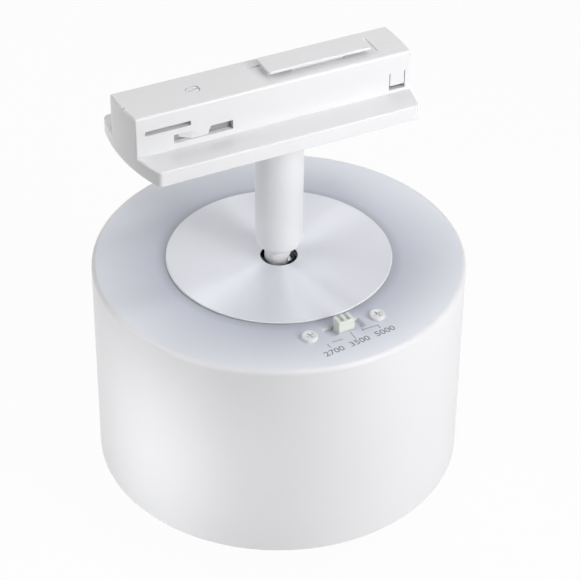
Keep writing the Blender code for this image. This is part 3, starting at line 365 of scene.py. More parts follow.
def bake_modifiers(piece):
    """Keep what the modifiers made as the piece's own mesh."""
    bpy.context.view_layer.update()
    evaluated = piece.evaluated_get(bpy.context.evaluated_depsgraph_get())
    mesh = bpy.data.meshes.new_from_object(evaluated)
    piece.modifiers.clear()
    piece.data = mesh


def carve(piece, *fills, operation="DIFFERENCE"):
    """Cut shapes from a piece, or join them to it. A fill is a function that draws into a bmesh."""
    for fill in fills:
        work = bmesh.new()
        fill(work)
        cutter = to_object(f"{piece.name}_cutter", work)
        step = piece.modifiers.new("carve", "BOOLEAN")
        step.operation = operation
        step.solver = "EXACT"
        step.object = cutter
        bake_modifiers(piece)
        bpy.data.objects.remove(cutter)


def shade(piece):
    """Smooth shading that keeps corners sharp and flat faces flat."""
    piece.data.shade_smooth()
    piece.data.set_sharp_from_angle(angle=SHARP_ANGLE)
    step = piece.modifiers.new("flat faces", "WEIGHTED_NORMAL")
    step.keep_sharp = True
    step.weight = FLAT_WEIGHT
    bake_modifiers(piece)


def dress(piece, finish, body, slot, *nodes):
    """Give a piece its finish, let it ride on its body and hide the nodes that it stands for."""
    piece.data.materials.clear()
    piece.data.materials.append(finish)
    shade(piece)
    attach(piece, body)
    if nodes:
        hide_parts(*nodes)
    print(f"{piece.name}: {len(piece.data.polygons)} faces, {finish.name}")


print("pieces can be cut, shaded and dressed")

# %% [markdown]
# ## Adapter base
#
# The base is the wide flange that closes the mouth of the track. Both ends bow outwards, the upright
# corners are rounded like a moulding's, and a shallow seat takes the box. A bowed outline skinned with
# rounded rims is closer to the mould than a scaled cube would be.

# %% Adapter base
END_RADIUS = 58.0 * MM
END_STEPS = 20
LEFT_CROWN = 3.5 * MM
SEAT_DEPTH = 0.5 * MM
SEAT_GAP = 0.03 * MM
FLANGE_CORNER = 1.5 * MM
FLANGE_EDGE = 0.4 * MM
LEAST_RADIUS = 0.05 * MM
STEM_HOLE = 3.6 * MM
SMALL_SIDES = 48
box_half = box_high.y


def bowed_plan(half_width, corner, inset=0.0):
    """Plan of the adapter, set back by an inset: two bowed ends and four rounded corners."""
    points = []
    half = half_width - inset
    radius = max(corner - inset, LEAST_RADIUS)
    reach = half - 2 * corner
    for end, side, crown in ((flange_high.x - inset, 1, 0.0), (flange_low.x + inset, -1, LEFT_CROWN)):
        stops = [-half] + [reach * (2 * i / END_STEPS - 1) for i in range(END_STEPS + 1)] + [half]
        for stop in stops:
            across = side * stop
            setback = END_RADIUS - math.sqrt(END_RADIUS ** 2 - (across - crown) ** 2)
            points.append((end - side * setback, across, radius if abs(stop) == half else 0.0))
    return fillet(points)


def flange_plan(inset):
    return bowed_plan(flange_high.y, FLANGE_CORNER, inset)


def box_seat(work):
    half = box_half + SEAT_GAP
    block(work, (2 * flange_low.x, -half, -SEAT_DEPTH), (2 * flange_high.x, half, box_high.z))


def stem_hole(work):
    foot = 2 * flange_low.z
    turned(work, [(0, foot), (STEM_HOLE, foot), (STEM_HOLE, MM), (0, MM)], SMALL_SIDES)


work = bmesh.new()
rounded(work, flange_plan, flange_low.z, 0, FLANGE_EDGE, FLANGE_EDGE)
base = to_object("adapter_base_moulding", work)
carve(base, box_seat, stem_hole)
dress(base, abs_white, "track_adapter", "white_moulded_plastic", "adapter_base")

# %% [markdown]
# ## Adapter cover
#
# The box that enters the track is a thin shell. Each long side has a slot for a contact and a slot for a
# lock tongue, and near the right end two slits free a springy tab above a sill. The shell is rounded first
# and cut afterwards, because moulded slots have crisp edges.

# %% Adapter cover
BOX_CORNER = 0.4 * MM
BOX_EDGE = 0.7 * MM
COVER_WALL = 1.5 * MM
COVER_TOP = 1.6 * MM
# Each slot has its left and right end, and its lower and upper edge.
CONTACT_SLOT = (-44.2 * MM, -30.7 * MM, 6.35 * MM, 7.75 * MM)
LOCK_SLOT = (-35.8 * MM, -18.1 * MM, 1.75 * MM, 4.55 * MM)
TAB_LEFT = 30.7 * MM
TAB_RIGHT = 35.4 * MM
TAB_SLIT = 0.3 * MM
TAB_SILL = 0.9 * MM
TAB_FOOT = 2.3 * MM
TAB_HEAD = 6.4 * MM
through = 2 * box_half
above = 2 * box_high.z


def box_plan(inset):
    return bowed_plan(box_half, BOX_CORNER, inset)


def cavity(work):
    prism(work, bowed_plan(box_half, BOX_CORNER, COVER_WALL), -SEAT_DEPTH - MM, box_high.z - COVER_TOP)


def side_slots(work):
    for left, right, low, high in (CONTACT_SLOT, LOCK_SLOT):
        block(work, (left, -through, low), (right, through, high))


def tab_slits(work):
    for middle in (TAB_LEFT, TAB_RIGHT):
        block(work, (middle - TAB_SLIT / 2, -through, TAB_SILL), (middle + TAB_SLIT / 2, through, TAB_HEAD))


def tab_gap(work):
    block(work, (TAB_LEFT, -through, TAB_SILL), (TAB_RIGHT, through, TAB_FOOT))


work = bmesh.new()
rounded(work, box_plan, -SEAT_DEPTH + SEAT_GAP, box_high.z, BOX_EDGE)
cover = to_object("adapter_cover_moulding", work)
carve(cover, cavity, side_slots, tab_slits, tab_gap)
print(f"shell and side slots: {len(cover.data.polygons)} faces")

# %% [markdown]
# ## The cover's top
#
# The top has a shallow pocket that the pad sinks into, a way for the pad's plunger and a counterbore for the
# screw. A scribed line runs from the pocket to the right end, and a small notch marks the left end. They are
# real cuts, because their edges catch the light from every side.

# %% Cover's top
POCKET_LEFT = -9.0 * MM
POCKET_RIGHT = 28.8 * MM
POCKET_HALF = 3.7 * MM
POCKET_DEPTH = 0.3 * MM
POCKET_CORNER = 0.4 * MM
PLUNGER_WAY = (8.5 * MM, 2.6 * MM)
PLUNGER_WAY_CORNER = 0.3 * MM
SCREW_X = -26.6 * MM
SCREW_RADIUS = 1.9 * MM
SCREW_WELL = 1.3 * MM
SCREW_CLEARANCE = 0.15 * MM
SCRIBE_PLACE = -0.2 * MM
SCRIBE_WIDTH = 0.2 * MM
SCRIBE_DEPTH = 0.1 * MM
SCRIBE_END = 34.9 * MM
NOTCH_PLACE = -0.7 * MM
NOTCH_SIZE = 0.5 * MM
pad_middle = (pad_low.x + pad_high.x) / 2


def top_pocket(work):
    middle = (POCKET_LEFT + POCKET_RIGHT) / 2
    plan = oblong((POCKET_RIGHT - POCKET_LEFT) / 2, POCKET_HALF, POCKET_CORNER, (middle, 0))
    prism(work, plan, box_high.z - POCKET_DEPTH, above)


def plunger_way(work):
    prism(work, oblong(*PLUNGER_WAY, PLUNGER_WAY_CORNER, (pad_middle, 0)), 0, above)


def screw_well(work):
    rim = SCREW_RADIUS + SCREW_CLEARANCE
    foot = box_high.z - SCREW_WELL
    turned(work, [(0, foot), (rim, foot), (rim, above), (0, above)], SMALL_SIDES, (SCREW_X, 0))


def top_scribe(work):
    low = (POCKET_RIGHT - MM, SCRIBE_PLACE - SCRIBE_WIDTH, box_high.z - SCRIBE_DEPTH)
    block(work, low, (SCRIBE_END, SCRIBE_PLACE, above))


def end_notch(work):
    low = (2 * box_low.x, NOTCH_PLACE - NOTCH_SIZE / 2, box_high.z - 2 * NOTCH_SIZE)
    block(work, low, (box_low.x + 2 * NOTCH_SIZE, NOTCH_PLACE + NOTCH_SIZE / 2, above))


carve(cover, top_pocket, plunger_way, screw_well, top_scribe, end_notch)
dress(cover, abs_white, "track_adapter", "white_moulded_plastic", "adapter_cover")

# %% [markdown]
# ## Cover screw
#
# The screw is white plastic with a straight slot, sunk a little below the box's top. It is turned from a
# profile, as a real screw is, and its slot is cut across the head.

# %% Cover screw
SCREW_SINK = 0.15 * MM
SCREW_HEAD = 1.0 * MM
SCREW_EDGE = 0.25 * MM
SCREW_SHANK = 1.2 * MM
SCREW_END = -2.5 * MM
SCREW_SLOT = (0.7 * MM, 0.6 * MM)
SCREW_TURN = math.radians(12)
screw_top = box_high.z - SCREW_SINK


def screw_slot(work):
    width, depth = SCREW_SLOT
    reach = 2 * SCREW_RADIUS
    block(work, (-reach, -width / 2, screw_top - depth), (reach, width / 2, above))
    work.transform(Matrix.Translation((SCREW_X, 0, 0)) @ Matrix.Rotation(SCREW_TURN, 4, "Z"))


work = bmesh.new()
under = screw_top - SCREW_HEAD
profile = fillet([(0, screw_top, 0), (SCREW_RADIUS, screw_top, SCREW_EDGE), (SCREW_RADIUS, under, 0),
                  (SCREW_SHANK, under, 0), (SCREW_SHANK, SCREW_END, 0), (0, SCREW_END, 0)])
turned(work, profile, SMALL_SIDES, (SCREW_X, 0))
screw = to_object("cover_screw_slotted", work)
carve(screw, screw_slot)
dress(screw, abs_white, "track_adapter", "white_moulded_plastic", "cover_screw")

# %% [markdown]
# ## Lock tongues
#
# A sprung tongue looks out of each lower slot and locks the adapter in the track. Its left end ramps out
# to the box's face, so that it springs back as the adapter turns in, and its right end is cut at a slant.
# Four outlines in depth make the ramped nose and the lip that holds it behind the wall.

# %% Lock tongues
NOSE_LEFT = -33.6 * MM
NOSE_RIGHT = -24.6 * MM
NOSE_SLANT = 0.9 * MM
NOSE_RISE = 3.2 * MM
NOSE_GAP = 0.15 * MM
NOSE_ROUND = 0.12 * MM
LIP_DEPTH = 0.4 * MM


def nose_outline(left):
    low = LOCK_SLOT[2] + NOSE_GAP
    high = LOCK_SLOT[3] - NOSE_GAP
    corners = ((left, low), (NOSE_RIGHT - NOSE_SLANT, low), (NOSE_RIGHT, high), (left, high))
    return fillet([(x, z, NOSE_ROUND) for x, z in corners])


for side, word in ((-1, "near"), (1, "far")):
    low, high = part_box(f"lock_tongue_{word}")
    face = max(abs(low.y), abs(high.y))
    back = min(abs(low.y), abs(high.y))
    lip = back + LIP_DEPTH
    centre = ((low.x + high.x) / 2, (low.z + high.z) / 2)
    plate = oblong((high.x - low.x) / 2, (high.z - low.z) / 2, NOSE_ROUND, centre)
    nose_tip = nose_outline(NOSE_LEFT + NOSE_RISE)
    nose_foot = nose_outline(NOSE_LEFT)
    work = bmesh.new()
    stack(work, [(face, nose_tip), (lip, nose_foot), (lip, plate), (back, plate)])
    # The outlines are drawn in x and z, so their depth is turned to face the side.
    work.transform(Matrix(((1, 0, 0, 0), (0, 0, side, 0), (0, 1, 0, 0), (0, 0, 0, 1))))
    tongue = to_object(f"lock_tongue_{word}_ramped", work)
    dress(tongue, abs_white, f"lock_{word}", "white_moulded_plastic", f"lock_tongue_{word}")

# %% [markdown]
# ## Lock guides
#
# A grey frame behind each lower slot guides the tongue. It shows as the grey ends of the slot, beside the
# tongue, and its grey is painted shade, for the shade inside the slot's ends. It is a guess from its colour
# in the photo, so it is an extra piece and stands for no node.

# %% Lock guides
GUIDE_ENDS = (-36.3 * MM, -17.6 * MM)
GUIDE_WINDOW = (-33.75 * MM, -24.3 * MM)
GUIDE_RIM = 0.55 * MM
GUIDE_FACE = 0.08 * MM
GUIDE_THICKNESS = 0.45 * MM
# Nylon in a matt mid grey. Its grey is painted shade, for the shade inside the slot's ends.
shade_grey_nylon = skin("Moulded grey nylon", "#A2A2A4", "#9C9C9E", 0.5, 6, 0.4, 0.002)


def guide_window(work):
    block(work, (GUIDE_WINDOW[0], -through, LOCK_SLOT[2]), (GUIDE_WINDOW[1], through, LOCK_SLOT[3]))


for side, word in ((-1, "near"), (1, "far")):
    face = side * (box_half - COVER_WALL - GUIDE_FACE)
    back = face - side * GUIDE_THICKNESS
    work = bmesh.new()
    block(work, (GUIDE_ENDS[0], min(face, back), LOCK_SLOT[2] - GUIDE_RIM),
          (GUIDE_ENDS[1], max(face, back), LOCK_SLOT[3] + GUIDE_RIM))
    guide = to_object(f"lock_guide_{word}", work)
    carve(guide, guide_window)
    dress(guide, shade_grey_nylon, "track_adapter", "white_moulded_plastic")

# %% [markdown]
# ## Pressure pad
#
# The pad is a thin plate on a plunger. It presses on the track's ceiling so that the adapter cannot rattle.
# The plate's rims are rounded, because its bright near edge is what shows it against the box.

# %% Pressure pad
PAD_THICKNESS = 0.9 * MM
PAD_CORNER = 0.5 * MM
PAD_EDGE = 0.18 * MM
PLUNGER = (8.2 * MM, 2.3 * MM)
PLUNGER_LIP = (9.0 * MM, 3.1 * MM)
PLUNGER_CORNER = 0.2 * MM
LIP_THICKNESS = 0.8 * MM
pad_half = (pad_high.x - pad_low.x) / 2
plate_foot = pad_high.z - PAD_THICKNESS


def pad_plan(inset):
    return oblong(pad_half - inset, pad_high.y - inset, PAD_CORNER - inset, (pad_middle, 0))


def plunger(work):
    plan = oblong(*PLUNGER, PLUNGER_CORNER, (pad_middle, 0))
    prism(work, plan, pad_low.z + LIP_THICKNESS / 2, plate_foot + PAD_EDGE)


def plunger_lip(work):
    plan = oblong(*PLUNGER_LIP, PLUNGER_CORNER, (pad_middle, 0))
    prism(work, plan, pad_low.z, pad_low.z + LIP_THICKNESS)


work = bmesh.new()
rounded(work, pad_plan, plate_foot, pad_high.z, PAD_EDGE, PAD_EDGE)
pad = to_object("pressure_pad_plate", work)
carve(pad, plunger, plunger_lip, operation="UNION")
dress(pad, abs_white, "pad", "white_moulded_plastic", "pressure_pad")

# %% [markdown]
# ## Stem
#
# The stem is a turned tube with a round nose. A small step at its top leaves the dark line under the flange.
# A turned profile gives the nose its even curve, which a bevelled cylinder would only come near to.

# %% Stem
NOSE_HEIGHT = 3.8 * MM
NOSE_RADIUS = 4.1 * MM
NOSE_STEPS = 16
STEM_BORE = 3.3 * MM
STEM_EDGE = 0.4 * MM
STEM_SIDES = 128
stem_radius = stem_high.x
profile = [(STEM_BORE, stem_high.z), (stem_radius - STEM_EDGE, stem_high.z),
           (stem_radius - STEM_EDGE, stem_high.z - STEM_EDGE), (stem_radius, stem_high.z - 1.5 * STEM_EDGE)]
for step in range(NOSE_STEPS + 1):
    angle = math.pi / 2 * step / NOSE_STEPS
    profile.append((NOSE_RADIUS + (stem_radius - NOSE_RADIUS) * math.cos(angle),
                    stem_low.z + NOSE_HEIGHT * (1 - math.sin(angle))))
profile.append((STEM_BORE, stem_low.z))
work = bmesh.new()
turned(work, profile, STEM_SIDES)
stem = to_object("stem_turned", work)
dress(stem, coat_white, "stem", "white_paint", "stem_tube")

# %% [markdown]
# ## Neck
#
# The neck is a tongue that drops through the disc's hole to the pivot, and narrows on its way. It is cast
# and coated with the stem. A stack of rounded oblongs gives it its taper and its lean.

# %% Neck
NECK_GAP = 0.15 * MM
NECK_ROUND = 0.85
# Sections in mm: the drop below the stem, half the length, half the width and the shift along x.
NECK_SECTIONS = ((0.0, 3.9, 3.3, 0.0),
                 (0.6, 4.1, 3.4, 0.0),
                 (3.8, 3.4, 3.3, -0.8),
                 (7.6, 2.9, 2.0, -0.6),
                 (8.2, 2.6, 1.5, -0.6))
work = bmesh.new()
levels = []
for drop, half_length, half_width, shift in NECK_SECTIONS:
    section = oblong(half_length * MM, half_width * MM, NECK_ROUND * half_width * MM, (shift * MM, 0))
    levels.append((stem_low.z - NECK_GAP - drop * MM, section))
stack(work, levels)
neck = to_object("knuckle_tongue", work)
dress(neck, coat_white, "stem", "white_paint", "knuckle")

# %% [markdown]
# ## Cover disc
#
# The disc hides the pivot. It is a thin spun plate with a rolled rim, its top a little lower at the hole,
# and it stands a hair above the drum's top, which draws a dark line around it. The rim has the plain coat,
# because the lathe's rings end before it.

# %% Cover disc
DISC_HOLE = 5.5 * MM
DISC_SHEET = 0.6 * MM
DISC_DISH = 0.35 * MM
DISC_GAP = 0.1 * MM
RIM_ROUND = 0.35 * MM
RIM_FOOT = 0.2 * MM
HOLE_EDGE = 0.08 * MM
disc_rim = disc_high.x
disc_foot = drum_high.z + DISC_GAP
work = bmesh.new()
turned(work, fillet([(DISC_HOLE, disc_foot + DISC_SHEET - DISC_DISH, HOLE_EDGE),
                     (disc_rim, disc_foot + DISC_SHEET, RIM_ROUND),
                     (disc_rim, disc_foot, RIM_FOOT),
                     (DISC_HOLE, disc_foot, HOLE_EDGE)]))
disc = to_object("canopy_disc_spun", work)
dress(disc, enamel, "lamp_head", "gloss_white_paint", "canopy_disc")
disc.data.materials.append(coat_white)
rim_faces = [face for face in disc.data.polygons if face.center.xy.length > disc_rim - RIM_ROUND]
for face in rim_faces:
    face.material_index = 1
print(len(rim_faces), "faces of the rim are", coat_white.name)

# %% [markdown]
# ## Drum
#
# The drum's top and wall are one skin with a soft edge, so one turned profile makes both. The selector's
# slot is cut through the top at the selector's own azimuth. The top's flat face gets the cooler coat.

# %% Drum
DRUM_EDGE = 1.4 * MM
DRUM_EDGE_STEPS = 8
DRUM_WALL = 1.2 * MM
FOOT_OUTER_EDGE = 0.4 * MM
FOOT_INNER_EDGE = 0.2 * MM
INNER_CORNER = 0.5 * MM
TOP_OPENING = 13.0 * MM
TOP_SKIN = 0.05 * MM
SELECTOR_AZIMUTH = math.radians(-88.4)
SELECTOR_RADIUS = 39.0 * MM
SELECTOR_SLOT = (5.9 * MM, 2.2 * MM)
SLOT_CORNER = 0.25 * MM
selector_x = SELECTOR_RADIUS * math.cos(SELECTOR_AZIMUTH)
selector_y = SELECTOR_RADIUS * math.sin(SELECTOR_AZIMUTH)
selector_turn = Matrix.Rotation(SELECTOR_AZIMUTH + math.pi / 2, 4, "Z")
to_selector = Matrix.Translation((selector_x, selector_y, drum_high.z)) @ selector_turn


def selector_slot(work):
    prism(work, oblong(*SELECTOR_SLOT, SLOT_CORNER), -2 * DRUM_WALL, DRUM_WALL)
    work.transform(to_selector)


inside = drum_radius - DRUM_WALL
ceiling = drum_high.z - DRUM_WALL
work = bmesh.new()
turned(work, fillet([(TOP_OPENING, drum_high.z, 0), (drum_radius, drum_high.z, DRUM_EDGE),
                     (drum_radius, drum_low.z, FOOT_OUTER_EDGE), (inside, drum_low.z, FOOT_INNER_EDGE),
                     (inside, ceiling, INNER_CORNER), (TOP_OPENING, ceiling, 0)], DRUM_EDGE_STEPS))
drum = to_object("drum_shell_turned", work)
carve(drum, selector_slot)
dress(drum, coat_white, "lamp_head", "white_paint", "drum_shell")
# The cooler coat on the top carries the painted shade that darkens it towards the disc.
drum.data.materials.append(coat_cool)
top_faces = [face for face in drum.data.polygons if face.center.z > drum_high.z - TOP_SKIN]
for face in top_faces:
    face.material_index = 1
print(len(top_faces), "faces of the top are", coat_cool.name)

# %% [markdown]
# ## Selector knob
#
# A small comb-shaped knob slides in a slot between two screws and chooses the lamp's colour. Its two grooves
# are open towards the disc and closed at the front. It is drawn at the origin, cut there and then placed,
# because the grooves are square to the slot and not to the adapter.

# %% Selector knob
KNOB_HALF = (2.5 * MM, 1.8 * MM)
KNOB_TOP = 3.4 * MM
KNOB_FOOT = -4.5 * MM
KNOB_CORNER = 0.2 * MM
KNOB_EDGE = 0.12 * MM
KNOB_FRONT = 0.6 * MM
GROOVE = (0.9 * MM, 1.9 * MM)


def knob_plan(inset):
    return oblong(KNOB_HALF[0] - inset, KNOB_HALF[1] - inset, KNOB_CORNER - inset)


def knob_grooves(work):
    width, depth = GROOVE
    ridge = (2 * KNOB_HALF[0] - 2 * width) / 3
    for side in (-1, 1):
        middle = side * (ridge + width) / 2
        block(work, (middle - width / 2, KNOB_FRONT - KNOB_HALF[1], KNOB_TOP - depth),
              (middle + width / 2, 2 * KNOB_HALF[1], 2 * KNOB_TOP))


work = bmesh.new()
rounded(work, knob_plan, KNOB_FOOT, KNOB_TOP, KNOB_EDGE, steps=3)
knob = to_object("selector_knob_comb", work)
carve(knob, knob_grooves)
knob.data.transform(to_selector)
dress(knob, cream, "selector", "cream_plastic", "selector_knob")

# %% [markdown]
# ## Selector shutter
#
# A thin plate slides under the slot with the knob and hides the inside, as in a real slide switch. A small
# window in it leaves the dark spot beside the knob. It is an extra piece and stands for no node.

# %% Selector shutter
SHUTTER_HALF = (6.6 * MM, 3.0 * MM)
SHUTTER_CORNER = 0.3 * MM
SHUTTER_LEVELS = (-1.43 * MM, -1.27 * MM)
SHUTTER_WINDOW = ((-4.4 * MM, -1.9 * MM), (-2.8 * MM, -0.9 * MM))


def shutter_window(work):
    (left, near), (right, far) = SHUTTER_WINDOW
    block(work, (left, near, 2 * SHUTTER_LEVELS[0]), (right, far, 0))


def knob_way(work):
    prism(work, oblong(*KNOB_HALF), 2 * SHUTTER_LEVELS[0], 0)


work = bmesh.new()
prism(work, oblong(*SHUTTER_HALF, SHUTTER_CORNER), *SHUTTER_LEVELS)
shutter = to_object("selector_shutter", work)
carve(shutter, shutter_window, knob_way)
shutter.data.transform(to_selector)
# The shutter takes the top's coat, so it carries the same painted shade.
dress(shutter, coat_cool, "selector", "white_paint")

# %% [markdown]
# ## Selector screws
#
# Two coated pan-head screws hold the switch. A shallow pan inside a raised ring, with a cross recess in it,
# gives each head its fine grey marks. The head is turned and the cross is cut one arm at a time, because the
# two arms of one cutter would overlap.

# %% Selector screws
SCREW_SPACING = 21.8 * MM
HEAD_RADIUS = 2.3 * MM
HEAD_HEIGHT = 1.05 * MM
HEAD_RING = 1.2 * MM
HEAD_PAN = 1.35 * MM
PAN_SLOPE = 0.2 * MM
HEAD_EDGE = 0.35 * MM
HEAD_LIFT = 0.05 * MM
HEAD_SIDES = 64
SHANK_RADIUS = 1.2 * MM
SHANK_END = -4.0 * MM
# Half the length, half the width and the depth of an arm of the cross, and the cross's turn in radians.
CROSS_ARM = (1.25 * MM, 0.26 * MM, 0.7 * MM)
CROSS_TURN = 0.3


def cross_arm(turn):
    """A fill for one arm of the cross recess, at an angle."""
    reach, half, depth = CROSS_ARM

    def fill(work):
        block(work, (-reach, -half, HEAD_HEIGHT - depth), (reach, half, 2 * HEAD_HEIGHT))
        work.transform(Matrix.Rotation(turn, 4, "Z"))

    return fill


profile = fillet([(0, HEAD_HEIGHT, 0), (HEAD_PAN, HEAD_HEIGHT, 0), (HEAD_PAN + PAN_SLOPE, HEAD_RING, 0),
                  (HEAD_RADIUS, HEAD_RING, HEAD_EDGE), (HEAD_RADIUS, HEAD_LIFT, 0),
                  (SHANK_RADIUS, HEAD_LIFT, 0), (SHANK_RADIUS, SHANK_END, 0), (0, SHANK_END, 0)])
for side, word in ((-1, "left"), (1, "right")):
    work = bmesh.new()
    turned(work, profile, HEAD_SIDES)
    screw = to_object(f"switch_screw_{word}_cross", work)
    carve(screw, cross_arm(CROSS_TURN), cross_arm(CROSS_TURN + math.pi / 2))
    screw.data.transform(to_selector @ Matrix.Translation((side * SCREW_SPACING / 2, 0, 0)))
    dress(screw, coat_white, "lamp_head", "white_paint", f"switch_screw_{word}")

# %% [markdown]
# ## Leader lines
#
# Thin grey lines are screen-printed from the three places of the knob to three numbers. Ink stands a few
# hundredths of a millimetre proud, so each line is a very thin strip, which stays sharp at any distance.

# %% Leader lines
INK_HEIGHT = 0.02 * MM
LINE_WIDTH = 0.25 * MM
# Each line's two ends on the drum's top, in mm.
LEADERS = (((-6.57, -43.9), (-6.54, -45.7)),
           ((-4.9, -43.65), (-1.7, -43.72)),
           ((1.72, -41.8), (1.71, -45.0)),
           ((5.45, -41.7), (5.3, -42.8)),
           ((5.4, -42.3), (10.3, -42.3)),
           ((10.28, -42.2), (10.16, -43.85)))
work = bmesh.new()
for start, stop in LEADERS:
    start = Vector(start) * MM
    stop = Vector(stop) * MM
    across = (stop - start).orthogonal().normalized() * LINE_WIDTH / 2
    corners = (start - across, stop - across, stop + across, start + across)
    prism(work, [tuple(corner) for corner in corners], drum_high.z, drum_high.z + INK_HEIGHT)
lines = to_object("selector_leader_lines", work)
dress(lines, ink, "lamp_head", None)

# %% [markdown]
# ## Numbers
#
# The numbers are plain ones, for three usual colours of white. Each is set as text, thickened a little as ink
# spreads, and fitted to its width and height as a very thin solid, so that its shape is real geometry.

# %% Numbers
NUMBERS = ("2700", "3500", "5000")
TEXT_START = Vector((-9.35, -48.93)) * MM
TEXT_STOP = Vector((14.07, -46.16)) * MM
TEXT_HEIGHT = 2.15 * MM
TEXT_GAP = 2.2 * MM
# Text is drawn one unit tall, and fitted to its size afterwards.
TEXT_DEPTH = 0.5
INK_SPREAD = 0.012
CURVE_STEPS = 4
NUMBER_WELD = 0.004 * MM


def number_mesh(name, words, width, height):
    """A thin solid of a number, with its lower left corner at the origin."""
    curve = bpy.data.curves.new(name, "FONT")
    curve.body = words
    curve.extrude = TEXT_DEPTH
    curve.offset = INK_SPREAD
    curve.resolution_u = CURVE_STEPS
    text = bpy.data.objects.new(name, curve)
    bpy.context.scene.collection.objects.link(text)
    bpy.context.view_layer.update()
    mesh = bpy.data.meshes.new_from_object(text.evaluated_get(bpy.context.evaluated_depsgraph_get()))
    bpy.data.objects.remove(text)
    spots = [vertex.co for vertex in mesh.vertices]
    low = Vector([min(spot[i] for spot in spots) for i in range(3)])
    high = Vector([max(spot[i] for spot in spots) for i in range(3)])
    size = high - low
    fit = Matrix.Diagonal((width / size.x, height / size.y, INK_HEIGHT / size.z, 1))
    mesh.transform(fit @ Matrix.Translation(-low))
    weld(mesh, NUMBER_WELD)
    return mesh


along = TEXT_STOP - TEXT_START
number_width = (along.length - (len(NUMBERS) - 1) * TEXT_GAP) / len(NUMBERS)
slope = Matrix.Rotation(math.atan2(along.y, along.x), 4, "Z")
for place, words in enumerate(NUMBERS):
    mesh = number_mesh(f"selector_number_{words}", words, number_width, TEXT_HEIGHT)
    spot = TEXT_START + along.normalized() * place * (number_width + TEXT_GAP)
    mesh.transform(Matrix.Translation((spot.x, spot.y, drum_high.z)) @ slope)
    number = bpy.data.objects.new(f"selector_number_{words}", mesh)
    bpy.context.scene.collection.objects.link(number)
    dress(number, ink, "lamp_head", None)

# %% [markdown]
# ## Lens and bezel
#
# The opal lens sits in the bezel, just inside the drum's lower edge. Both are round mouldings, so both are
# turned, and small edge radii give them a line of light from below.

# %% Lens and bezel
LENS_EDGE = 0.3 * MM
LENS_EDGE_STEPS = 3
BEZEL_WIDTH = 5.0 * MM
BEZEL_INNER_EDGE = 0.5 * MM
BEZEL_FOOT_EDGE = 0.3 * MM
BEZEL_TOP_EDGE = 0.2 * MM
work = bmesh.new()
turned(work, fillet([(0, lens_low.z, 0), (lens_high.x, lens_low.z, LENS_EDGE),
                     (lens_high.x, lens_high.z, LENS_EDGE), (0, lens_high.z, 0)], LENS_EDGE_STEPS))
lens = to_object("diffuser_disc", work)
dress(lens, opal, "lamp_head", "opal_plastic", "diffuser")
bezel_inner = bezel_high.x - BEZEL_WIDTH
work = bmesh.new()
turned(work, fillet([(bezel_inner, bezel_low.z, BEZEL_INNER_EDGE),
                     (bezel_high.x, bezel_low.z, BEZEL_FOOT_EDGE),
                     (bezel_high.x, bezel_high.z, BEZEL_TOP_EDGE),
                     (bezel_inner, bezel_high.z, BEZEL_TOP_EDGE)]))
bezel = to_object("bezel_ring_rounded", work)
dress(bezel, coat_white, "lamp_head", "white_paint", "bezel_ring")

# %% [markdown]
# ## Inner pieces
#
# The pieces inside keep their shapes from the imported model, and get finishes of their own by the record's
# slots. They show only through the slots, the disc's hole and in cutaway views.

# %% Inner finishes
# Black paint on the pivot bracket, as painted shade: it stands in for the shade inside the disc's hole, so
# that almost no light comes back from the hole.
black_paint = skin("Black paint", "#2A2B2F", "#232428", 0.45, 20, 0.9, 0.002)
# Moulded black plastic of coils and capacitor sleeves: a faint satin sheen.
black_plastic = skin("Moulded black nylon", "#2C2D30", "#26272A", 0.4, 6, 0.5, 0.002)
# Bright zinc plate: a cool grey metal with a fine crystalline frost.
steel = skin("Zinc plated steel", "#C9CCD1", "#BCC0C6", 0.32, 4, 0.5, 0.003, Metallic=1.0)
# Tinned brass: duller and warmer than zinc, wiped smooth by the track.
tinned = skin("Tinned brass", "#BFBEBA", "#B2B0AB", 0.38, 4, 0.6, 0.002, Metallic=1.0)
# Drawn copper: a warm metal with faint die lines.
copper = skin("Enamelled copper wire", "#C9825C", "#B8714C", 0.3, 2, 0.3, 0.001, Metallic=1.0)
# Rolled aluminium: pale grey with a soft rolling grain.
aluminium = skin("Rolled aluminium", "#D6D8DB", "#CBCDD1", 0.4, 6, 0.8, 0.002, Metallic=1.0)
# Solder mask over glass cloth: glossy green with the cloth's weave, 0.5 mm a thread.
board = skin("Green solder mask", "#1F6B3F", "#1A5C36", 0.35, 3, 0.5, 0.003)
# Vulcanised fibre: matt dark grey with a felted tone.
fibre = skin("Grey vulcanised fibre", "#4A4C52", "#404248", 0.8, 2, 0.4, 0.006)
# Grey PVC sheath: soft and slightly shiny.
sheath = skin("Grey PVC sheath", "#8E9096", "#868890", 0.5, 3, 0.4, 0.002)
finishes = {"white_moulded_plastic": abs_white, "white_paint": coat_white, "gloss_white_paint": enamel,
            "cream_plastic": cream, "opal_plastic": opal, "black_paint": black_paint,
            "black_plastic": black_plastic, "zinc_plated_steel": steel, "tinned_brass": tinned,
            "copper_wire": copper, "aluminium": aluminium, "circuit_board": board, "fibre_sheet": fibre,
            "grey_sheath": sheath}
for row in frame["record"]["subparts"]:
    node = frame["nodes"][row["node"]]
    node.data.materials.clear()
    node.data.materials.append(finishes[row["material_slot"]])

# %% [markdown]
# ## Leaf springs
#
# Bent strips of spring steel push the tongues and the pad outwards. They keep the imported model's shapes.

# %% Leaf springs
LEAF_WELD = 0.001 * MM
# Each node, the joint that presses it, the direction in which it would flatten and the share of it that would
# stay.
LEAVES = (("lock_spring_near", "lock_near_press", (0, 1, 0), 0.6),
          ("lock_spring_far", "lock_far_press", (0, 1, 0), 0.6),
          ("pad_spring", "pad_press", (0, 0, 1), 0.7))
for node, joint, axis, keep in LEAVES:
    low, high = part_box(node)
    leaf = bpy.data.objects.new(f"{node}_leaf", frame["nodes"][node].data.copy())
    weld(leaf.data, LEAF_WELD)
    bpy.context.scene.collection.objects.link(leaf)
    dress(leaf, steel, "track_adapter", "zinc_plated_steel", node)
    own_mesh(leaf)

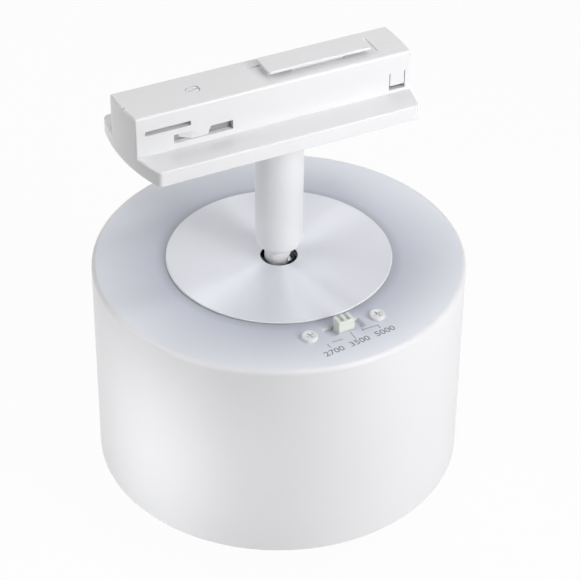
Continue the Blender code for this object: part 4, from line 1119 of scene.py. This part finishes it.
# %% [markdown]
# ## Floor
#
# The light hangs just above a pale floor, with room for the drum to tilt. The camera, and anything glossy,
# sees the floor mostly as plain white, and a share of its real shading stays, so that the drum keeps its soft
# shadow. One function tells those rays from the light that the floor passes on, for the sky needs it too.

# %% Floor
WHITE_SHARE = 0.96
FLOOR_DROP = 16 * MM
# Half the floor's side, in metres.
FLOOR_HALF = 4


def seen_rays(tree):
    """A socket that is 1 for rays from the camera, a glossy surface or glass, and 0 for all others."""
    path = add_node(tree, "ShaderNodeLightPath")
    mirror = add_node(tree, "ShaderNodeMath", operation="MAXIMUM",
                      links={0: path.outputs["Is Glossy Ray"], 1: path.outputs["Is Transmission Ray"]})
    seen = add_node(tree, "ShaderNodeMath", operation="MAXIMUM",
                    links={0: path.outputs["Is Camera Ray"], 1: mirror.outputs[0]})
    return seen.outputs[0]


work = bmesh.new()
prism(work, oblong(FLOOR_HALF, FLOOR_HALF), drum_low.z - 2 * FLOOR_DROP, drum_low.z - FLOOR_DROP)
floor = to_object("floor", work)
floor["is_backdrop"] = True
material, tree = new_material("Pale floor")
share = add_node(tree, "ShaderNodeMath", {1: WHITE_SHARE}, {0: seen_rays(tree)}, operation="MULTIPLY")
diffuse = add_node(tree, "ShaderNodeBsdfDiffuse", {"Color": linear("#F4F4F4")})
white = add_node(tree, "ShaderNodeEmission", {"Color": (1, 1, 1, 1), "Strength": 1.0})
mix = add_node(tree, "ShaderNodeMixShader",
               links={0: share.outputs[0], 1: diffuse.outputs[0], 2: white.outputs[0]})
add_node(tree, "ShaderNodeOutputMaterial", links={"Surface": mix.outputs[0]})
floor.data.materials.append(material)
print("floor at", round((drum_low.z - FLOOR_DROP) / MM, 1), "mm")

# %% [markdown]
# ## Sky
#
# White on white shows its form only through soft differences of light, so the sky that fills every side is
# weak. The camera and glossy surfaces see it as plain white paper instead.

# %% Sky
SKY = 0.02
world = bpy.data.worlds.new("studio")
bpy.context.scene.world = world
world.use_nodes = True
tree = world.node_tree
tree.nodes.clear()
fill = add_node(tree, "ShaderNodeBackground", {"Color": (1, 1, 1, 1), "Strength": SKY})
white = add_node(tree, "ShaderNodeBackground", {"Color": (1, 1, 1, 1), "Strength": 1.0})
mix = add_node(tree, "ShaderNodeMixShader",
               links={0: seen_rays(tree), 1: fill.outputs[0], 2: white.outputs[0]})
add_node(tree, "ShaderNodeOutputWorld", links={"Surface": mix.outputs[0]})
print("sky at", SKY)

# %% [markdown]
# ## Softboxes
#
# Softboxes stand around the light, as in a studio. The key lights the adapter's long side from the right, two
# panels close by draw the disc's wedges, larger ones fill the left and the back, and a small one hangs
# overhead. Two small lamps near the floor brighten the flanks of the drum. A grid narrows the beam of the
# left one, which keeps its light to a strip of the wall.

# %% Softboxes
CAMERA_AZIMUTH = -26.9


def softbox(name, bearing, elevation, level, distance, width, height, power, spread=180):
    """An area lamp that faces the stem's axis at a level in mm, from a bearing to the camera's right.

    Angles are in degrees, the distance and the sizes in metres and the power in watts.
    """
    a = math.radians(CAMERA_AZIMUTH + bearing)
    e = math.radians(elevation)
    back = Vector((math.sin(a) * math.cos(e), -math.cos(a) * math.cos(e), math.sin(e)))
    lamp = bpy.data.lights.new(name, "AREA")
    lamp.shape = "RECTANGLE"
    lamp.size = width
    lamp.size_y = height
    lamp.energy = power
    lamp.spread = math.radians(spread)
    holder = bpy.data.objects.new(name, lamp)
    bpy.context.scene.collection.objects.link(holder)
    holder.location = Vector((0, 0, level * MM)) + back * distance
    holder.rotation_euler = (-back).to_track_quat("-Z", "Y").to_euler()
    holder.visible_camera = False
    print(f"{name}: {power} W")


# Name, bearing, elevation, level, distance, width, height, power and, for a narrow beam, its spread.
softbox("key_right", 50, 10, -20, 0.8, 0.3, 0.4, 2.25)
softbox("panel_front", 30, 35, 0, 0.3, 0.15, 0.15, 0.12)
softbox("panel_right", 60, 30, 0, 0.3, 0.15, 0.15, 0.33)
softbox("side_left", -95, 10, -60, 0.7, 0.4, 0.5, 1.07)
softbox("high_left", -92, 45, -20, 0.8, 0.4, 0.4, 1.4)
softbox("back", 180, 55, -60, 0.8, 0.6, 0.5, 1.05)
softbox("overhead", 55, 75, -60, 0.5, 0.08, 0.08, 0.28)
softbox("low_left", -39, 0, -90, 0.18, 0.03, 0.08, 0.0086, 47)
softbox("low_right", 58, 0, -114, 0.16, 0.03, 0.03, 0.008)

# %% [markdown]
# ## Camera
#
# The camera stands to the left and looks down on the light, with a long lens, as a product photographer
# would set it. Its place was fitted to the drum's rims and the adapter's corners in the photo.

# %% Camera
CAMERA_PLACE = Vector((-236.4, -473.5, 329.0)) * MM
CAMERA_FORWARD = Vector((0.3631, 0.7158, -0.5965)).normalized()
CAMERA_UP = Vector((0.2603, 0.5368, 0.8026))
# The lens and the sensor's width, in mm.
LENS = 137.63
SENSOR = 36
camera = bpy.data.objects.new("camera", bpy.data.cameras.new("camera"))
bpy.context.scene.collection.objects.link(camera)
right = CAMERA_FORWARD.cross(CAMERA_UP).normalized()
up = right.cross(CAMERA_FORWARD)
turn = Matrix((right, up, -CAMERA_FORWARD)).transposed().to_4x4()
camera.matrix_world = Matrix.Translation(CAMERA_PLACE) @ turn
camera.data.lens = LENS
camera.data.sensor_width = SENSOR
bpy.context.scene.camera = camera
bpy.context.scene.view_settings.view_transform = "Standard"
print("camera", [round(c / MM) for c in CAMERA_PLACE], "mm")

# %% [markdown]
# ## Sizes and finish
#
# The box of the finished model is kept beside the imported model's box, to compare them.

# %% Sizes and finish
visual_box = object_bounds()
cad_size = cad_box[1] - cad_box[0]
visual_size = visual_box[1] - visual_box[0]
print("grown by", [round((b - a) / MM, 2) for a, b in zip(cad_size, visual_size)], "mm")
